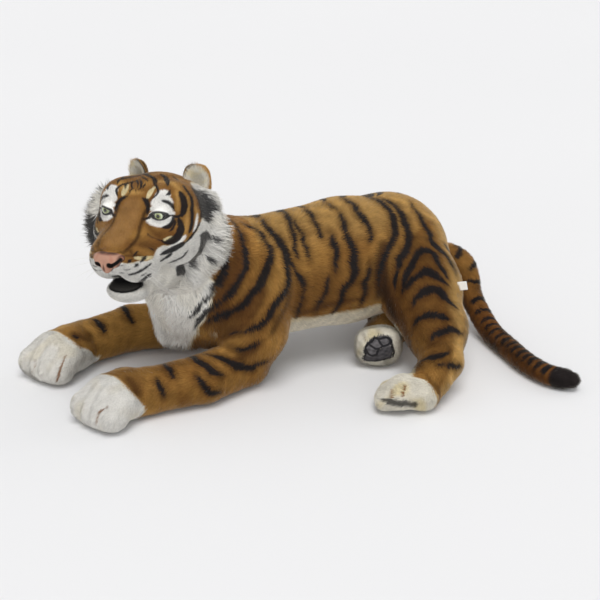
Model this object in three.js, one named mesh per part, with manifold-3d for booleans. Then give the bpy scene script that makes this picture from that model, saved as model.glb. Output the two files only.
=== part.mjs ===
// A large plush tiger, lying with its forelegs stretched forward and its hips rolled onto its right side.
// Millimetres, +Z up. The head end is -X and the animal's left side is -Y. Every outline is taken at the
// tips of the pile. The solids are built in a pose frame whose floor point is under the middle of the
// trunk, and the finished group is moved so that the middle of its footprint is the origin.
import * as THREE from "three";
import { mergeVertices } from "three/addons/utils/BufferGeometryUtils.js";
import Module from "manifold-3d";

const wasm = await Module();
wasm.setup();

// ---------------------------------------------------------------- driving dimensions

const GAP = 0.35; // free width of every cut between two pieces
const BODY_FACET = 33; // facet size of the trunk and legs
const HEAD_FACET = 18.5; // facet size of the head and the ruff
const PAW_FACET = 20;
const TAIL_FACET = 20;
const NOSE_FACET = 11;
const SEAM_FACET = 44; // facet size of the inner cuts
const SEAM_MARGIN = 9; // how far outside a leg's own surface its seam with the trunk runs

const BACK_HEIGHT = 306; // top of the trunk above the floor
const TRUNK_HALF_HEIGHT = 121;
const TRUNK_WIDTH_SHARE = 0.88; // width of the trunk as a share of its height
const FORELEG_RADIUS = 43;
const FOREPAW_RADIUS = 42;
const TAIL_ROOT_RADIUS = 25;
const TAIL_TIP_RADIUS = 19;
const EYE_RADIUS = 10.5;
const EYE_F = 65; // how far ahead of the head's centre the eyes' centres are
const EAR_HALF_WIDTH = 27;
const EAR_HALF_HEIGHT = 33;
const LABEL_LENGTH = 15; // how far the sewn label sticks out
const LABEL_THICKNESS = 1.2;
const LABEL_WIDTH = 17;

const at = (x, y, z) => new THREE.Vector3(x, y, z);

// ---------------------------------------------------------------- forms
// A form is a function of x, y, z that gives the distance to its surface, below zero inside.

function ellipsoid(centre, radii) {
  return (x, y, z) => {
    const px = (x - centre.x) / radii.x;
    const py = (y - centre.y) / radii.y;
    const pz = (z - centre.z) / radii.z;
    const near = Math.hypot(px, py, pz);
    const slope = Math.hypot(px / radii.x, py / radii.y, pz / radii.z);
    return slope > 0 ? (near * (near - 1)) / slope : -Math.min(radii.x, radii.y, radii.z);
  };
}

// A rounded cone from start to end. share is its extent along the unit vector across, over its radius.
function limb(start, startRadius, end, endRadius, share = 1, across = at(0, 1, 0)) {
  const axis = end.clone().sub(start);
  const lengthSq = axis.lengthSq();
  return (x, y, z) => {
    let px = x - start.x;
    let py = y - start.y;
    let pz = z - start.z;
    const t = THREE.MathUtils.clamp((px * axis.x + py * axis.y + pz * axis.z) / lengthSq, 0, 1);
    px -= t * axis.x;
    py -= t * axis.y;
    pz -= t * axis.z;
    const sideways = px * across.x + py * across.y + pz * across.z;
    const stretch = sideways * (1 / share - 1);
    const away = Math.hypot(px + stretch * across.x, py + stretch * across.y, pz + stretch * across.z);
    return (away - THREE.MathUtils.lerp(startRadius, endRadius, t)) * Math.min(share, 1);
  };
}

// A chain of limbs through [point, radius] stations.
function chain(stations, softness) {
  const links = stations.slice(1).map((end, i) => limb(...stations[i], ...end));
  return blend(softness, ...links);
}

// The union of the forms, with the creases between them filled to about softness.
function blend(softness, ...forms) {
  return (x, y, z) => {
    let all = forms[0](x, y, z);
    for (let i = 1; i < forms.length; i++) {
      const one = forms[i](x, y, z);
      const overlap = Math.max(softness - Math.abs(all - one), 0);
      all = Math.min(all, one) - (overlap * overlap) / (4 * softness);
    }
    return all;
  };
}

// form with cutter taken out, and the lip rounded to about softness.
function carve(softness, form, cutter) {
  return (x, y, z) => {
    const a = form(x, y, z);
    const b = -cutter(x, y, z);
    const overlap = Math.max(softness - Math.abs(a - b), 0);
    return Math.max(a, b) + (overlap * overlap) / (4 * softness);
  };
}

// A form given in a local frame, placed by that frame's matrix.
function placed(frame, form) {
  const m = frame.clone().invert().elements;
  return (x, y, z) =>
    form(
      m[0] * x + m[4] * y + m[8] * z + m[12],
      m[1] * x + m[5] * y + m[9] * z + m[13],
      m[2] * x + m[6] * y + m[10] * z + m[14],
    );
}

// A frame at origin whose +X points along forward and whose +Z is as near up as it can be, then rolled.
function frameAt(origin, forward, rollDeg = 0) {
  const x = forward.clone().normalize();
  const y = at(0, 0, 1).cross(x).normalize();
  const z = x.clone().cross(y);
  const roll = new THREE.Matrix4().makeRotationX(THREE.MathUtils.degToRad(rollDeg));
  return new THREE.Matrix4().makeBasis(x, y, z).multiply(roll).setPosition(origin);
}

function direction(yawDeg, pitchDeg) {
  const yaw = THREE.MathUtils.degToRad(yawDeg);
  const pitch = THREE.MathUtils.degToRad(pitchDeg);
  return at(-Math.cos(yaw) * Math.cos(pitch), -Math.sin(yaw) * Math.cos(pitch), Math.sin(pitch));
}

// ---------------------------------------------------------------- the body's forms

const SPINE_Z = BACK_HEIGHT - TRUNK_HALF_HEIGHT;
const LOIN = at(60, 0, SPINE_Z);
const trunkForm = blend(
  16,
  limb(at(-150, 0, SPINE_Z - 4), 116, LOIN, TRUNK_HALF_HEIGHT, TRUNK_WIDTH_SHARE),
  limb(LOIN, TRUNK_HALF_HEIGHT, at(160, 6, SPINE_Z - 4), 117, 0.9),
  limb(at(160, 6, SPINE_Z - 4), 115, at(206, 14, 124), 100, 0.96),
);
// The long white hair of the throat and breast hangs down between the forelegs.
const breastForm = blend(
  40,
  limb(at(-262, -6, 196), 78, at(-262, 18, 112), 52),
  ellipsoid(at(-200, 15, 150), at(72, 84, 100)),
);
const neckForm = limb(at(-150, 0, 196), 90, at(-268, -20, 284), 80);

function forelegForm(side, shoulder, elbow, knee, wrist, toe) {
  return blend(
    30,
    limb(shoulder, 70, at(elbow.x + 18, elbow.y + side * 2, 110), 60),
    chain(
      [
        [at(elbow.x + 18, elbow.y + side * 2, 110), 58],
        [elbow, FORELEG_RADIUS + 5],
        [knee, FORELEG_RADIUS + 2],
        [wrist, FORELEG_RADIUS - 1],
        [toe, FOREPAW_RADIUS - 4],
      ],
      8,
    ),
  );
}

// A forepaw: a broad mitten with four toes, the middle two furthest forward.
function forepawForm(frame) {
  const toes = [-1.5, -0.5, 0.5, 1.5].map((k) => {
    const forward = 42 - 6 * Math.abs(k);
    return limb(at(4, k * 20, 11), 26, at(forward, k * 22, -7), 24);
  });
  return placed(frame, blend(8, limb(at(-26, 0, 8), 44, at(8, 0, 8), 43, 1.12), ...toes));
}

const LEFT_ELBOW = at(-168, -62, 47);
const LEFT_KNEE = at(-262, -94, 44.5);
const LEFT_WRIST = at(-366, -90, 41.5);
const LEFT_PAW = at(-431, -95, 38);
const RIGHT_ELBOW = at(-195, 138, 47);
const RIGHT_KNEE = at(-308, 168, 44.5);
const RIGHT_WRIST = at(-410, 150, 41.5);
const RIGHT_PAW = at(-467, 119, 38);
const leftPawFrame = frameAt(LEFT_PAW, at(-0.93, -0.36, 0));
const rightPawFrame = frameAt(RIGHT_PAW, at(-0.91, -0.41, 0));
const leftForelegForm = forelegForm(-1, at(-140, -52, 205), LEFT_ELBOW, LEFT_KNEE, LEFT_WRIST, LEFT_PAW);
const rightForelegForm = forelegForm(1, at(-140, 62, 205), RIGHT_ELBOW, RIGHT_KNEE, RIGHT_WRIST, RIGHT_PAW);
const leftForepawForm = forepawForm(leftPawFrame);
const rightForepawForm = forepawForm(rightPawFrame);

// Left hind leg: over the hip, out to the left and down to the floor, with the foot pointing forward
// and turned in.
const LEFT_ANKLE = at(146, -242, 62);
const LEFT_INSTEP = at(112, -268, 46);
const LEFT_HEEL = at(88, -284, 34);
const leftHindForm = blend(
  24,
  limb(at(180, -20, 188), 90, at(182, -92, 140), 78),
  limb(at(182, -92, 140), 76, at(174, -172, 92), 56),
  chain([[at(174, -172, 92), 54], [LEFT_ANKLE, 43], [LEFT_INSTEP, 37], [LEFT_HEEL, 33]], 12),
);
const leftHindpawFrame = frameAt(at(55, -273, 34), at(-0.79, 0.61, -0.02), 0);
const leftHindpawForm = placed(
  leftHindpawFrame,
  blend(
    8,
    limb(at(-30, 0, 0), 34, at(6, 0, 0), 34),
    ...[-1, 0, 1].map((k) => limb(at(6, k * 18, 0), 23, at(36 - 5 * Math.abs(k), k * 19, -2), 21)),
  ),
);

// Right hind leg: flat on the floor under the body, with its sole turned out to the left.
const rightHindForm = blend(
  20,
  limb(at(215, 45, 79), 80, at(180, -10, 57), 56),
  limb(at(180, -10, 58), 52, at(122, -70, 48), 38),
);
const rightHindpawFrame = frameAt(at(94, -108, 44), at(-0.42, -0.9, 0.05), 0);
const rightHindpawForm = placed(
  rightHindpawFrame,
  blend(8, limb(at(-34, 0, 0), 36, at(-8, 0, 0), 38), ellipsoid(at(0, -6.5, 1), at(22, 52, 45))),
);

// The tail leaves the rump, drops to the floor and curls round to the left.
const TAIL = [
  at(262, 22, 160),
  at(306, 15, 149),
  at(335, 5, 130),
  at(345, -4, 101),
  at(340, -26, 72),
  at(343, -60, 41),
  at(341, -110, 22),
  at(336, -180, 20),
  at(332, -245, 20),
  at(341, -304, 20),
  at(362, -335, 21),
];
const tailRadius = (t) => THREE.MathUtils.lerp(TAIL_ROOT_RADIUS, TAIL_TIP_RADIUS, t);
const tailForm = chain(
  TAIL.map((p, i) => [p, tailRadius(i / (TAIL.length - 1))]),
  6,
);

// ---------------------------------------------------------------- the head's forms
// In the head's own frame +X is forward, +Y is the animal's left and +Z is up.

function pair(centre, radii) {
  return [1, -1].map((side) => ellipsoid(at(centre.x, side * centre.y, centre.z), radii));
}

const HEAD = at(-317, -37, 335);
const headFrame = frameAt(HEAD, direction(36, 3.3), 5);
const skullForm = blend(
  18,
  ellipsoid(at(-5, 0, 8), at(90, 96, 80)),
  ...pair(at(32, 60, -10), at(49, 42, 49)),
  ...pair(at(22, 52, 44), at(42, 38, 38)),
);
const muzzleForm = blend(
  16,
  limb(at(60, 0, 8), 34, at(130, 0, -27), 25, 1.5),
  ...pair(at(100, 28, -34), at(43, 36, 38)),
  ...pair(at(58, 34, -16), at(46, 32, 36)),
);
const noseForm = ellipsoid(at(143, 0, -23), at(22, 31, 16));
const chinForm = blend(
  14,
  ellipsoid(at(98, 0, -90), at(40, 43, 23)),
  ellipsoid(at(42, 0, -68), at(58, 64, 40)),
);
const mouthForm = ellipsoid(at(144, 0, -72), at(30, 46, 9));
const ruffForm = blend(
  24,
  ellipsoid(at(-28, 50, -18), at(38, 76, 84)),
  ellipsoid(at(-10, -68, -20), at(40, 90, 94)),
  ellipsoid(at(-4, 0, -84), at(56, 82, 50)),
  ...pair(at(-36, 74, 34), at(24, 28, 32)),
);
const faceForm = carve(8, blend(10, blend(16, skullForm, muzzleForm), chinForm, noseForm), mouthForm);
const headForm = placed(headFrame, blend(14, faceForm, ruffForm));

const bodyForm = blend(
  16,
  blend(30, trunkForm, neckForm, breastForm),
  leftForelegForm,
  rightForelegForm,
  leftForepawForm,
  rightForepawForm,
  leftHindForm,
  leftHindpawForm,
  rightHindForm,
  rightHindpawForm,
);
const wholeForm = blend(16, bodyForm, headForm);

// ---------------------------------------------------------------- meshing

const AXES = [at(1, 0, 0), at(0, 1, 0), at(0, 0, 1)];

// The values of a form on a grid of cells, held above zero on the outer sides so that its surface closes.
function sample(form, low, high, cell) {
  const [nx, ny, nz] = high.clone().sub(low).divideScalar(cell).ceil().addScalar(1).toArray();
  const value = new Float64Array(nx * ny * nz);
  const index = (i, j, k) => i + nx * (j + ny * k);
  const outer = (n, i) => i === 0 || i === n - 1;
  for (let k = 0; k < nz; k++)
    for (let j = 0; j < ny; j++)
      for (let i = 0; i < nx; i++) {
        const d = form(low.x + i * cell, low.y + j * cell, low.z + k * cell);
        value[index(i, j, k)] = outer(nx, i) || outer(ny, j) || outer(nz, k) ? Math.max(d, cell / 4) : d;
      }
  return { nx, ny, nz, value, index, at: (p) => value[index(...p)] };
}

// Calls visit([i, j, k]) for every cell of a grid.
function eachCell(grid, visit) {
  for (let k = 0; k < grid.nz - 1; k++)
    for (let j = 0; j < grid.ny - 1; j++) for (let i = 0; i < grid.nx - 1; i++) visit([i, j, k]);
}

// The point a whole number of steps away from a grid point: s along axis, t and u along the two after it.
function away(from, axis, s, t, u) {
  const point = [...from];
  point[axis] += s;
  point[(axis + 1) % 3] += t;
  point[(axis + 2) % 3] += u;
  return point;
}

// Where the surface crosses each of a cell's twelve edges. Edge 4 * axis + t + 2 * u runs along axis.
function crossings(grid, cell) {
  return Array.from({ length: 12 }, (_, edge) => {
    const axis = edge >> 2;
    const from = away(cell, axis, 0, edge & 1, (edge >> 1) & 1);
    const a = grid.at(from);
    const b = grid.at(away(from, axis, 1, 0, 0));
    return a < 0 === b < 0 ? null : at(...from).addScaledVector(AXES[axis], a / (a - b));
  });
}

// The crossed edges of a cell, in one list for each sheet of the surface that passes through it.
function sheets(grid, cell, crossed) {
  const sheet = crossed.map((point, edge) => (point ? edge : -1));
  const join = (a, b) => {
    const [keep, drop] = [sheet[a], sheet[b]];
    sheet.forEach((value, edge) => value === drop && (sheet[edge] = keep));
  };
  for (let axis = 0; axis < 3; axis++)
    for (let side = 0; side < 2; side++) {
      const flat = [0, 1].map((u) => 4 * ((axis + 1) % 3) + u + 2 * side);
      const upright = [0, 1].map((t) => 4 * ((axis + 2) % 3) + side + 2 * t);
      const edges = [...flat, ...upright].filter((edge) => crossed[edge]);
      if (edges.length === 2) join(...edges);
      if (edges.length < 4) continue;
      for (const [t, u] of [[0, 0], [1, 0], [0, 1], [1, 1]])
        if (grid.at(away(cell, axis, side, t, u)) < 0) join(flat[u], upright[t]);
    }
  return sheet;
}

// Moves a point onto the form's surface, by half a cell at most.
function settle(form, point, cell) {
  const h = 0.5;
  const start = point.clone();
  for (let round = 0; round < 3; round++) {
    const { x, y, z } = point;
    const slope = at(
      form(x + h, y, z) - form(x - h, y, z),
      form(x, y + h, z) - form(x, y - h, z),
      form(x, y, z + h) - form(x, y, z - h),
    ).divideScalar(2 * h);
    point.addScaledVector(slope, -form(x, y, z) / Math.max(slope.lengthSq(), 0.2));
    point.sub(start).clampLength(0, cell / 2).add(start);
  }
}

// The four corners around one grid edge, as two triangles split along the shorter diagonal.
function facets(corners, quad) {
  const [a, b, c, d] = quad;
  const ac = corners[a].distanceToSquared(corners[c]);
  const bd = corners[b].distanceToSquared(corners[d]);
  return ac < bd ? [a, b, c, a, c, d] : [a, b, d, b, c, d];
}

// The corners of a form's surface, one for each sheet in each cell, and which corner each crossed edge has.
function surfaceCorners(grid, low, cell) {
  const corners = [];
  const cornerOf = new Map();
  eachCell(grid, (place) => {
    const crossed = crossings(grid, place);
    if (!crossed.some(Boolean)) return;
    const sheet = sheets(grid, place, crossed);
    for (const name of new Set(sheet.filter((value) => value >= 0))) {
      const edges = sheet.flatMap((value, edge) => (value === name ? [edge] : []));
      const sum = edges.reduce((total, edge) => total.add(crossed[edge]), at(0, 0, 0));
      edges.forEach((edge) => cornerOf.set(12 * grid.index(...place) + edge, corners.length));
      corners.push(sum.multiplyScalar(cell / edges.length).add(low));
    }
  });
  return { corners, cornerOf };
}

// The closed surface of a form inside the box from low to high, in facets of about the cell's size.
function net(form, low, high, cell) {
  const grid = sample(form, low, high, cell);
  const { corners, cornerOf } = surfaceCorners(grid, low, cell);
  const inner = new THREE.Box3(low, high).expandByScalar(-1.5 * cell);
  corners.filter((point) => inner.containsPoint(point)).forEach((point) => settle(form, point, cell));
  const triangles = [];
  eachCell(grid, (place) => {
    const inside = grid.at(place) < 0;
    for (let axis = 0; axis < 3; axis++) {
      if (inside === grid.at(away(place, axis, 1, 0, 0)) < 0) continue;
      const quad = [0, 1, 3, 2].map((corner) => {
        const owner = away(place, axis, 0, -(corner & 1), -(corner >> 1));
        return cornerOf.get(12 * grid.index(...owner) + 4 * axis + corner);
      });
      triangles.push(...facets(corners, inside ? quad : quad.reverse()));
    }
  });
  const geometry = new THREE.BufferGeometry();
  const positions = corners.flatMap((point) => point.toArray());
  geometry.setAttribute("position", new THREE.Float32BufferAttribute(positions, 3));
  geometry.setIndex(triangles);
  return geometry;
}

// ---------------------------------------------------------------- solids

function solid(geometry) {
  const bare = geometry.clone();
  bare.deleteAttribute("normal");
  bare.deleteAttribute("uv");
  const merged = mergeVertices(bare, 1e-4);
  const vertProperties = merged.attributes.position.array;
  const triVerts = new Uint32Array(merged.index.array);
  return new wasm.Manifold(new wasm.Mesh({ numProp: 3, vertProperties, triVerts }));
}

// A geometry with every corner moved outwards by distance.
function swollen(geometry, distance) {
  const moved = geometry.clone();
  moved.computeVertexNormals();
  const { position, normal } = moved.attributes;
  const corner = at(0, 0, 0);
  const outwards = at(0, 0, 0);
  for (let i = 0; i < position.count; i++) {
    outwards.fromBufferAttribute(normal, i);
    corner.fromBufferAttribute(position, i).addScaledVector(outwards, distance);
    position.setXYZ(i, corner.x, corner.y, corner.z);
  }
  return moved;
}

// A box in a frame, from one local corner to the other, with margin added on every side.
function block(frame, low, high, margin = 0) {
  const size = high.clone().sub(low);
  const middle = low.clone().add(high).multiplyScalar(0.5);
  const box = new THREE.BoxGeometry(size.x + 2 * margin, size.y + 2 * margin, size.z + 2 * margin);
  return solid(box.translate(middle.x, middle.y, middle.z).applyMatrix4(frame));
}

// The largest body of a solid, without the crumbs that a cut can leave.
const largest = (shape) => shape.decompose().sort((a, b) => b.volume() - a.volume())[0];

const plush = (color) => new THREE.MeshStandardMaterial({ color, roughness: 0.95, metalness: 0 });
const STRIPED = plush(0xb07a3c);
const WHITE = plush(0xe9e6de);
const TAIL_BROWN = plush(0x7a4c26);
const EAR_CREAM = plush(0xcbb98f);
const NOSE_PINK = new THREE.MeshStandardMaterial({ color: 0xc98f78, roughness: 0.7, metalness: 0 });
const EYE_GREEN = new THREE.MeshStandardMaterial({ color: 0x9fae86, roughness: 0.1, metalness: 0 });
const LABEL_WHITE = new THREE.MeshStandardMaterial({ color: 0xf2f2f2, roughness: 0.5, metalness: 0 });

const tiger = new THREE.Group();

function addPiece(name, shape, material) {
  const data = largest(shape).getMesh();
  const geometry = new THREE.BufferGeometry();
  geometry.setAttribute("position", new THREE.BufferAttribute(new Float32Array(data.vertProperties), 3));
  geometry.setIndex(new THREE.BufferAttribute(data.triVerts, 1));
  geometry.computeVertexNormals();
  const mesh = new THREE.Mesh(geometry, material);
  mesh.name = name;
  tiger.add(mesh);
}

// An ear is a rounded flap, hollowed in front, that stands out from the crown and turns a little outwards.
function earSolid(side) {
  const turn = new THREE.Matrix4().makeRotationZ(side * 0.3);
  const place = headFrame.clone().multiply(turn.setPosition(-36, side * 61, 70));
  const flap = new THREE.SphereGeometry(1, 12, 8).scale(9, EAR_HALF_WIDTH, EAR_HALF_HEIGHT);
  const hollow = new THREE.SphereGeometry(1, 9, 6).scale(8, EAR_HALF_WIDTH - 7, EAR_HALF_HEIGHT - 7);
  return solid(flap.applyMatrix4(place)).subtract(solid(hollow.translate(9, 0.6, -2).applyMatrix4(place)));
}

// ---------------------------------------------------------------- the pieces

const PAW_LOW = at(-26, -80, -60);
const PAW_HIGH = at(120, 80, 80);
const FACE_LOW = at(-22, -160, -112);
const FACE_HIGH = at(240, 160, 150);
const RUFF_LOW = at(0, -220, -92);
const RUFF_HIGH = at(320, 220, 240);
const WORLD = new THREE.Matrix4();
const neckFrame = frameAt(at(-212, -10, 250), at(-0.78, -0.13, 0.61));

const floor = block(WORLD, at(-900, -900, -200), at(900, 900, 0));
const bodyNet = net(wholeForm, at(-570, -330, -60), at(400, 240, 480), BODY_FACET);
const headNet = net(wholeForm, at(-530, -260, 130), at(-130, 160, 470), HEAD_FACET);
const bodyCut = solid(swollen(bodyNet, GAP));
const headCut = solid(swollen(headNet, GAP));
const face = block(headFrame, FACE_LOW, FACE_HIGH);
const faceCut = block(headFrame, FACE_LOW, FACE_HIGH, GAP);
const ruff = block(neckFrame, RUFF_LOW, RUFF_HIGH);
const ruffCut = block(neckFrame, RUFF_LOW, RUFF_HIGH, GAP);

let head = solid(headNet).intersect(face);
const noseNet = net(placed(headFrame, noseForm), at(-480, -180, 240), at(-380, -70, 380), NOSE_FACET);
head = head.subtract(solid(swollen(noseNet, GAP)));
[1, -1].forEach((side) => {
  const name = side > 0 ? "left" : "right";
  const ball = (radius) => new THREE.SphereGeometry(radius, 12, 8).translate(EYE_F, side * 54, 37);
  head = head.subtract(solid(ball(EYE_RADIUS + GAP).applyMatrix4(headFrame)));
  addPiece("eye_" + name, solid(ball(EYE_RADIUS).applyMatrix4(headFrame)), EYE_GREEN);
  addPiece("ear_" + name, earSolid(side).subtract(headCut), EAR_CREAM);
});
addPiece("head", head, STRIPED);
addPiece("nose", solid(noseNet), NOSE_PINK);
addPiece("neck", solid(headNet).subtract(faceCut).intersect(ruff), WHITE);

let trunk = solid(bodyNet).subtract(floor).subtract(faceCut).subtract(ruffCut);
const LEGS = [
  ["foreleg_left", "forepaw_left", leftForelegForm, leftForepawForm, leftPawFrame],
  ["foreleg_right", "forepaw_right", rightForelegForm, rightForepawForm, rightPawFrame],
  ["hindleg_right", "hindpaw_right", rightHindForm, rightHindpawForm, rightHindpawFrame],
  ["hindleg_left", "hindpaw_left", leftHindForm, leftHindpawForm, leftHindpawFrame],
];
let cutAway = floor;
LEGS.forEach(([legName, pawName, legForm, pawForm, pawFrame]) => {
  const form = blend(16, legForm, pawForm);
  const seam = (x, y, z) => form(x, y, z) - SEAM_MARGIN;
  const middle = at(0, 0, 0).setFromMatrixPosition(pawFrame);
  const pawNet = net(form, middle.clone().subScalar(120), middle.clone().addScalar(120), PAW_FACET);
  const seamNet = net(seam, at(-600, -380, -90), at(420, 290, 480), SEAM_FACET);
  const seamCut = solid(swollen(seamNet, GAP));
  const pawBlock = block(pawFrame, PAW_LOW, PAW_HIGH, GAP);
  const pawCut = solid(swollen(pawNet, GAP)).intersect(pawBlock);
  const paw = solid(pawNet).intersect(block(pawFrame, PAW_LOW, PAW_HIGH)).subtract(cutAway);
  const leg = trunk.intersect(solid(seamNet)).subtract(pawBlock);
  trunk = largest(trunk.subtract(seamCut).subtract(pawCut));
  cutAway = cutAway.add(seamCut).add(pawCut);
  addPiece(pawName, paw, WHITE);
  addPiece(legName, leg, STRIPED);
});
addPiece("trunk", trunk, STRIPED);

const tailNet = net(tailForm, at(220, -390, -30), at(430, 70, 230), TAIL_FACET);
addPiece("tail", solid(tailNet).subtract(bodyCut).subtract(floor), TAIL_BROWN);

const labelFrame = frameAt(at(232, -154, 160), at(0.75, -0.6, 0.2));
const labelHalf = at(0, LABEL_THICKNESS / 2, LABEL_WIDTH / 2);
const label = block(labelFrame, at(-12, 0, 0).sub(labelHalf), at(LABEL_LENGTH, 0, 0).add(labelHalf));
addPiece("label", label.subtract(bodyCut), LABEL_WHITE);

const box = new THREE.Box3().setFromObject(tiger);
const middle = box.getCenter(at(0, 0, 0));
tiger.position.set(-middle.x, -middle.y, -box.min.z);

export default tiger;
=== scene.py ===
"""Looks of a large airbrushed plush tiger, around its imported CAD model.

Shapes are worked out in millimetres in the pose frame, whose floor point is under the middle of the trunk.
to_row() turns them into metres in the CAD model's own frame. The head end is -X, the animal's left side is
-Y, which the camera sees, and +Z is up.
"""

import math
from concurrent.futures import ThreadPoolExecutor

import bpy
import numpy as np
from mathutils import Matrix, Vector


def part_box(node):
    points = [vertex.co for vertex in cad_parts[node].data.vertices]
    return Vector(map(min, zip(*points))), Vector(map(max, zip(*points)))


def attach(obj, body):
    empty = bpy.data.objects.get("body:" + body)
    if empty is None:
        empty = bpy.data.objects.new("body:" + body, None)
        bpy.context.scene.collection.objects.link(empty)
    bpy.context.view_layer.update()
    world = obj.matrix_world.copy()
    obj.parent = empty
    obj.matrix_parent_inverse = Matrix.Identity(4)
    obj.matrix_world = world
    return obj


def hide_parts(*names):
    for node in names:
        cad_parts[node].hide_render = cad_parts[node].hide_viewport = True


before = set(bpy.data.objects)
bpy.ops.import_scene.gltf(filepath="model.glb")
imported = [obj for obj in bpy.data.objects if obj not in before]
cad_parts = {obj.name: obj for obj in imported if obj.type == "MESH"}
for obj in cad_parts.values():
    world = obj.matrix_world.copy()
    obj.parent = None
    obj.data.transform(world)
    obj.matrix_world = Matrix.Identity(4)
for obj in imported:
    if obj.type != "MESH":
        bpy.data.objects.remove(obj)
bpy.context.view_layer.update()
random = np.random.default_rng(20)


def vec(*numbers):
    return np.array(numbers, np.float32)


def length_of(v):
    return np.sqrt((v * v).sum(-1))


def unit(v):
    return v / np.maximum(length_of(v), 1e-9)[..., None]


def smooth(low, high, value):
    """0 below low, 1 above high and an eased step between them."""
    t = np.clip((value - low) / (high - low), 0, 1)
    return t * t * (3 - 2 * t)


def mix(a, b, share):
    """a where share is 0 and b where it is 1, row by row."""
    return a + (b - a) * np.asarray(share)[..., None]


# ---------------------------------------------------------------- camera

AZIMUTH, ELEVATION = math.radians(-25), math.radians(24)
LENS, SENSOR, PICTURE = 85, 36, 600
FOCAL_PX = PICTURE * LENS / SENSOR
EYE_POINT = vec(-1068, -2235.5, 1216.3)
BACK = vec(
    math.sin(AZIMUTH) * math.cos(ELEVATION), -math.cos(AZIMUTH) * math.cos(ELEVATION), math.sin(ELEVATION)
)
RIGHT = vec(math.cos(AZIMUTH), math.sin(AZIMUTH), 0)
UP = np.cross(BACK, RIGHT)


def pixel_rays(pixels):
    """Unit directions from the camera through pixels of the 600 x 600 picture."""
    u, v = np.asarray(pixels, np.float32).T
    aside, above = (u - PICTURE / 2) / FOCAL_PX, (PICTURE / 2 - v) / FOCAL_PX
    return unit(-BACK + aside[:, None] * RIGHT + above[:, None] * UP)


# ---------------------------------------------------------------- forms
# A form is a function of points (N, 3) that gives each one's distance to a surface, below zero inside.


def ellipsoid(centre, radii):
    centre, radii = vec(*centre), vec(*radii)

    def form(p):
        q = (p - centre) / radii
        near = length_of(q)
        slope = length_of(q / radii)
        return near * (near - 1) / np.maximum(slope, 1e-5)

    return form


def squared(radii, centre):
    """An ellipsoid whose outline from the front is squarer than an oval."""
    centre, radii = vec(*centre), vec(*radii)

    def form(p):
        q = np.abs((p - centre) / radii)
        flat = (q[:, 1] ** 2.8 + q[:, 2] ** 2.8) ** (1 / 2.8)
        return (np.sqrt(q[:, 0] ** 2 + flat**2) - 1) * radii.min()

    return form


def limb(start, start_radius, end, end_radius, share=1.0):
    """A rounded cone. share is its extent along Y, over its radius."""
    start, across = vec(*start), vec(0, 1, 0)
    axis = vec(*end) - start

    def form(p):
        q = p - start
        t = np.clip(q @ axis / (axis @ axis), 0, 1)
        q = q - t[:, None] * axis
        if share != 1:
            q = q + ((q @ across) * (1 / share - 1))[:, None] * across
        return (length_of(q) - start_radius - (end_radius - start_radius) * t) * min(share, 1)

    return form


def blend(softness, *forms):
    """The union of the forms, with the creases between them filled to about softness."""

    def form(p):
        whole = forms[0](p)
        for one in forms[1:]:
            whole = soft_min(softness, whole, one(p))
        return whole

    return form


def soft_min(softness, a, b):
    overlap = np.maximum(softness - np.abs(a - b), 0)
    return np.minimum(a, b) - overlap * overlap / (4 * softness)


def carve(softness, form, cutter):
    return lambda p: -soft_min(softness, -form(p), cutter(p))


def chain(softness, *stations):
    """Limbs through (point, radius) stations."""
    return blend(softness, *[limb(*a, *b) for a, b in zip(stations, stations[1:])])


def curve(points, spacing=0, steps=0):
    """A smooth curve through the points, in so many steps from each to the next or steps of about spacing."""
    p = np.array(points, np.float32)
    p = np.concatenate([[2 * p[0] - p[1]], p, [2 * p[-1] - p[-2]]])
    out = []
    for a, b, c, d in zip(p, p[1:], p[2:], p[3:]):
        count = steps or max(1, round(float(length_of(c - b)) / spacing))
        t = (np.arange(count) / count)[:, None]
        out.append(
            0.5 * (2 * b + (c - a) * t + (2 * a - 5 * b + 4 * c - d) * t**2 + (3 * b - a - 3 * c + d) * t**3)
        )
    return np.concatenate([*out, p[-2][None]]).astype(np.float32)


def beside(p, line):
    """For each point: the nearest piece of the line, how far along the line that is, and the way out."""
    nearest = np.full(len(p), np.inf, np.float32)
    piece, along, out = np.zeros(len(p), int), np.zeros(len(p), np.float32), np.zeros((len(p), 3), np.float32)
    start = 0.0
    for number, (a, b) in enumerate(zip(line, line[1:])):
        step = b - a
        size = float(length_of(step))
        t = np.clip((p - a) @ step / size**2, 0, 1)
        off = p - a - t[:, None] * step
        away = length_of(off)
        closer = away < nearest
        nearest[closer], piece[closer] = away[closer], number
        along[closer], out[closer] = (start + t * size)[closer], off[closer]
        start += size
    return piece, along, out


def inset(form, depth):
    return lambda p: form(p) + depth


class Place:
    """A local frame: +X along forward, +Z as near up as it can be, then rolled about X."""

    def __init__(self, origin, forward, roll_deg=0):
        x = unit(vec(*forward))
        y = unit(np.cross(vec(0, 0, 1), x))
        z = np.cross(x, y)
        c, s = math.cos(math.radians(roll_deg)), math.sin(math.radians(roll_deg))
        self.origin = vec(*origin)
        self.axes = np.array([x, c * y + s * z, c * z - s * y], np.float32)

    def into(self, p):
        return (p - self.origin) @ self.axes.T

    def out(self, q):
        return np.asarray(q, np.float32) @ self.axes + self.origin

    def turned(self, v):
        return np.asarray(v, np.float32) @ self.axes

    def form(self, local):
        return lambda p: local(self.into(p))


# ---------------------------------------------------------------- the tiger's forms, as in the CAD model

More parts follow.
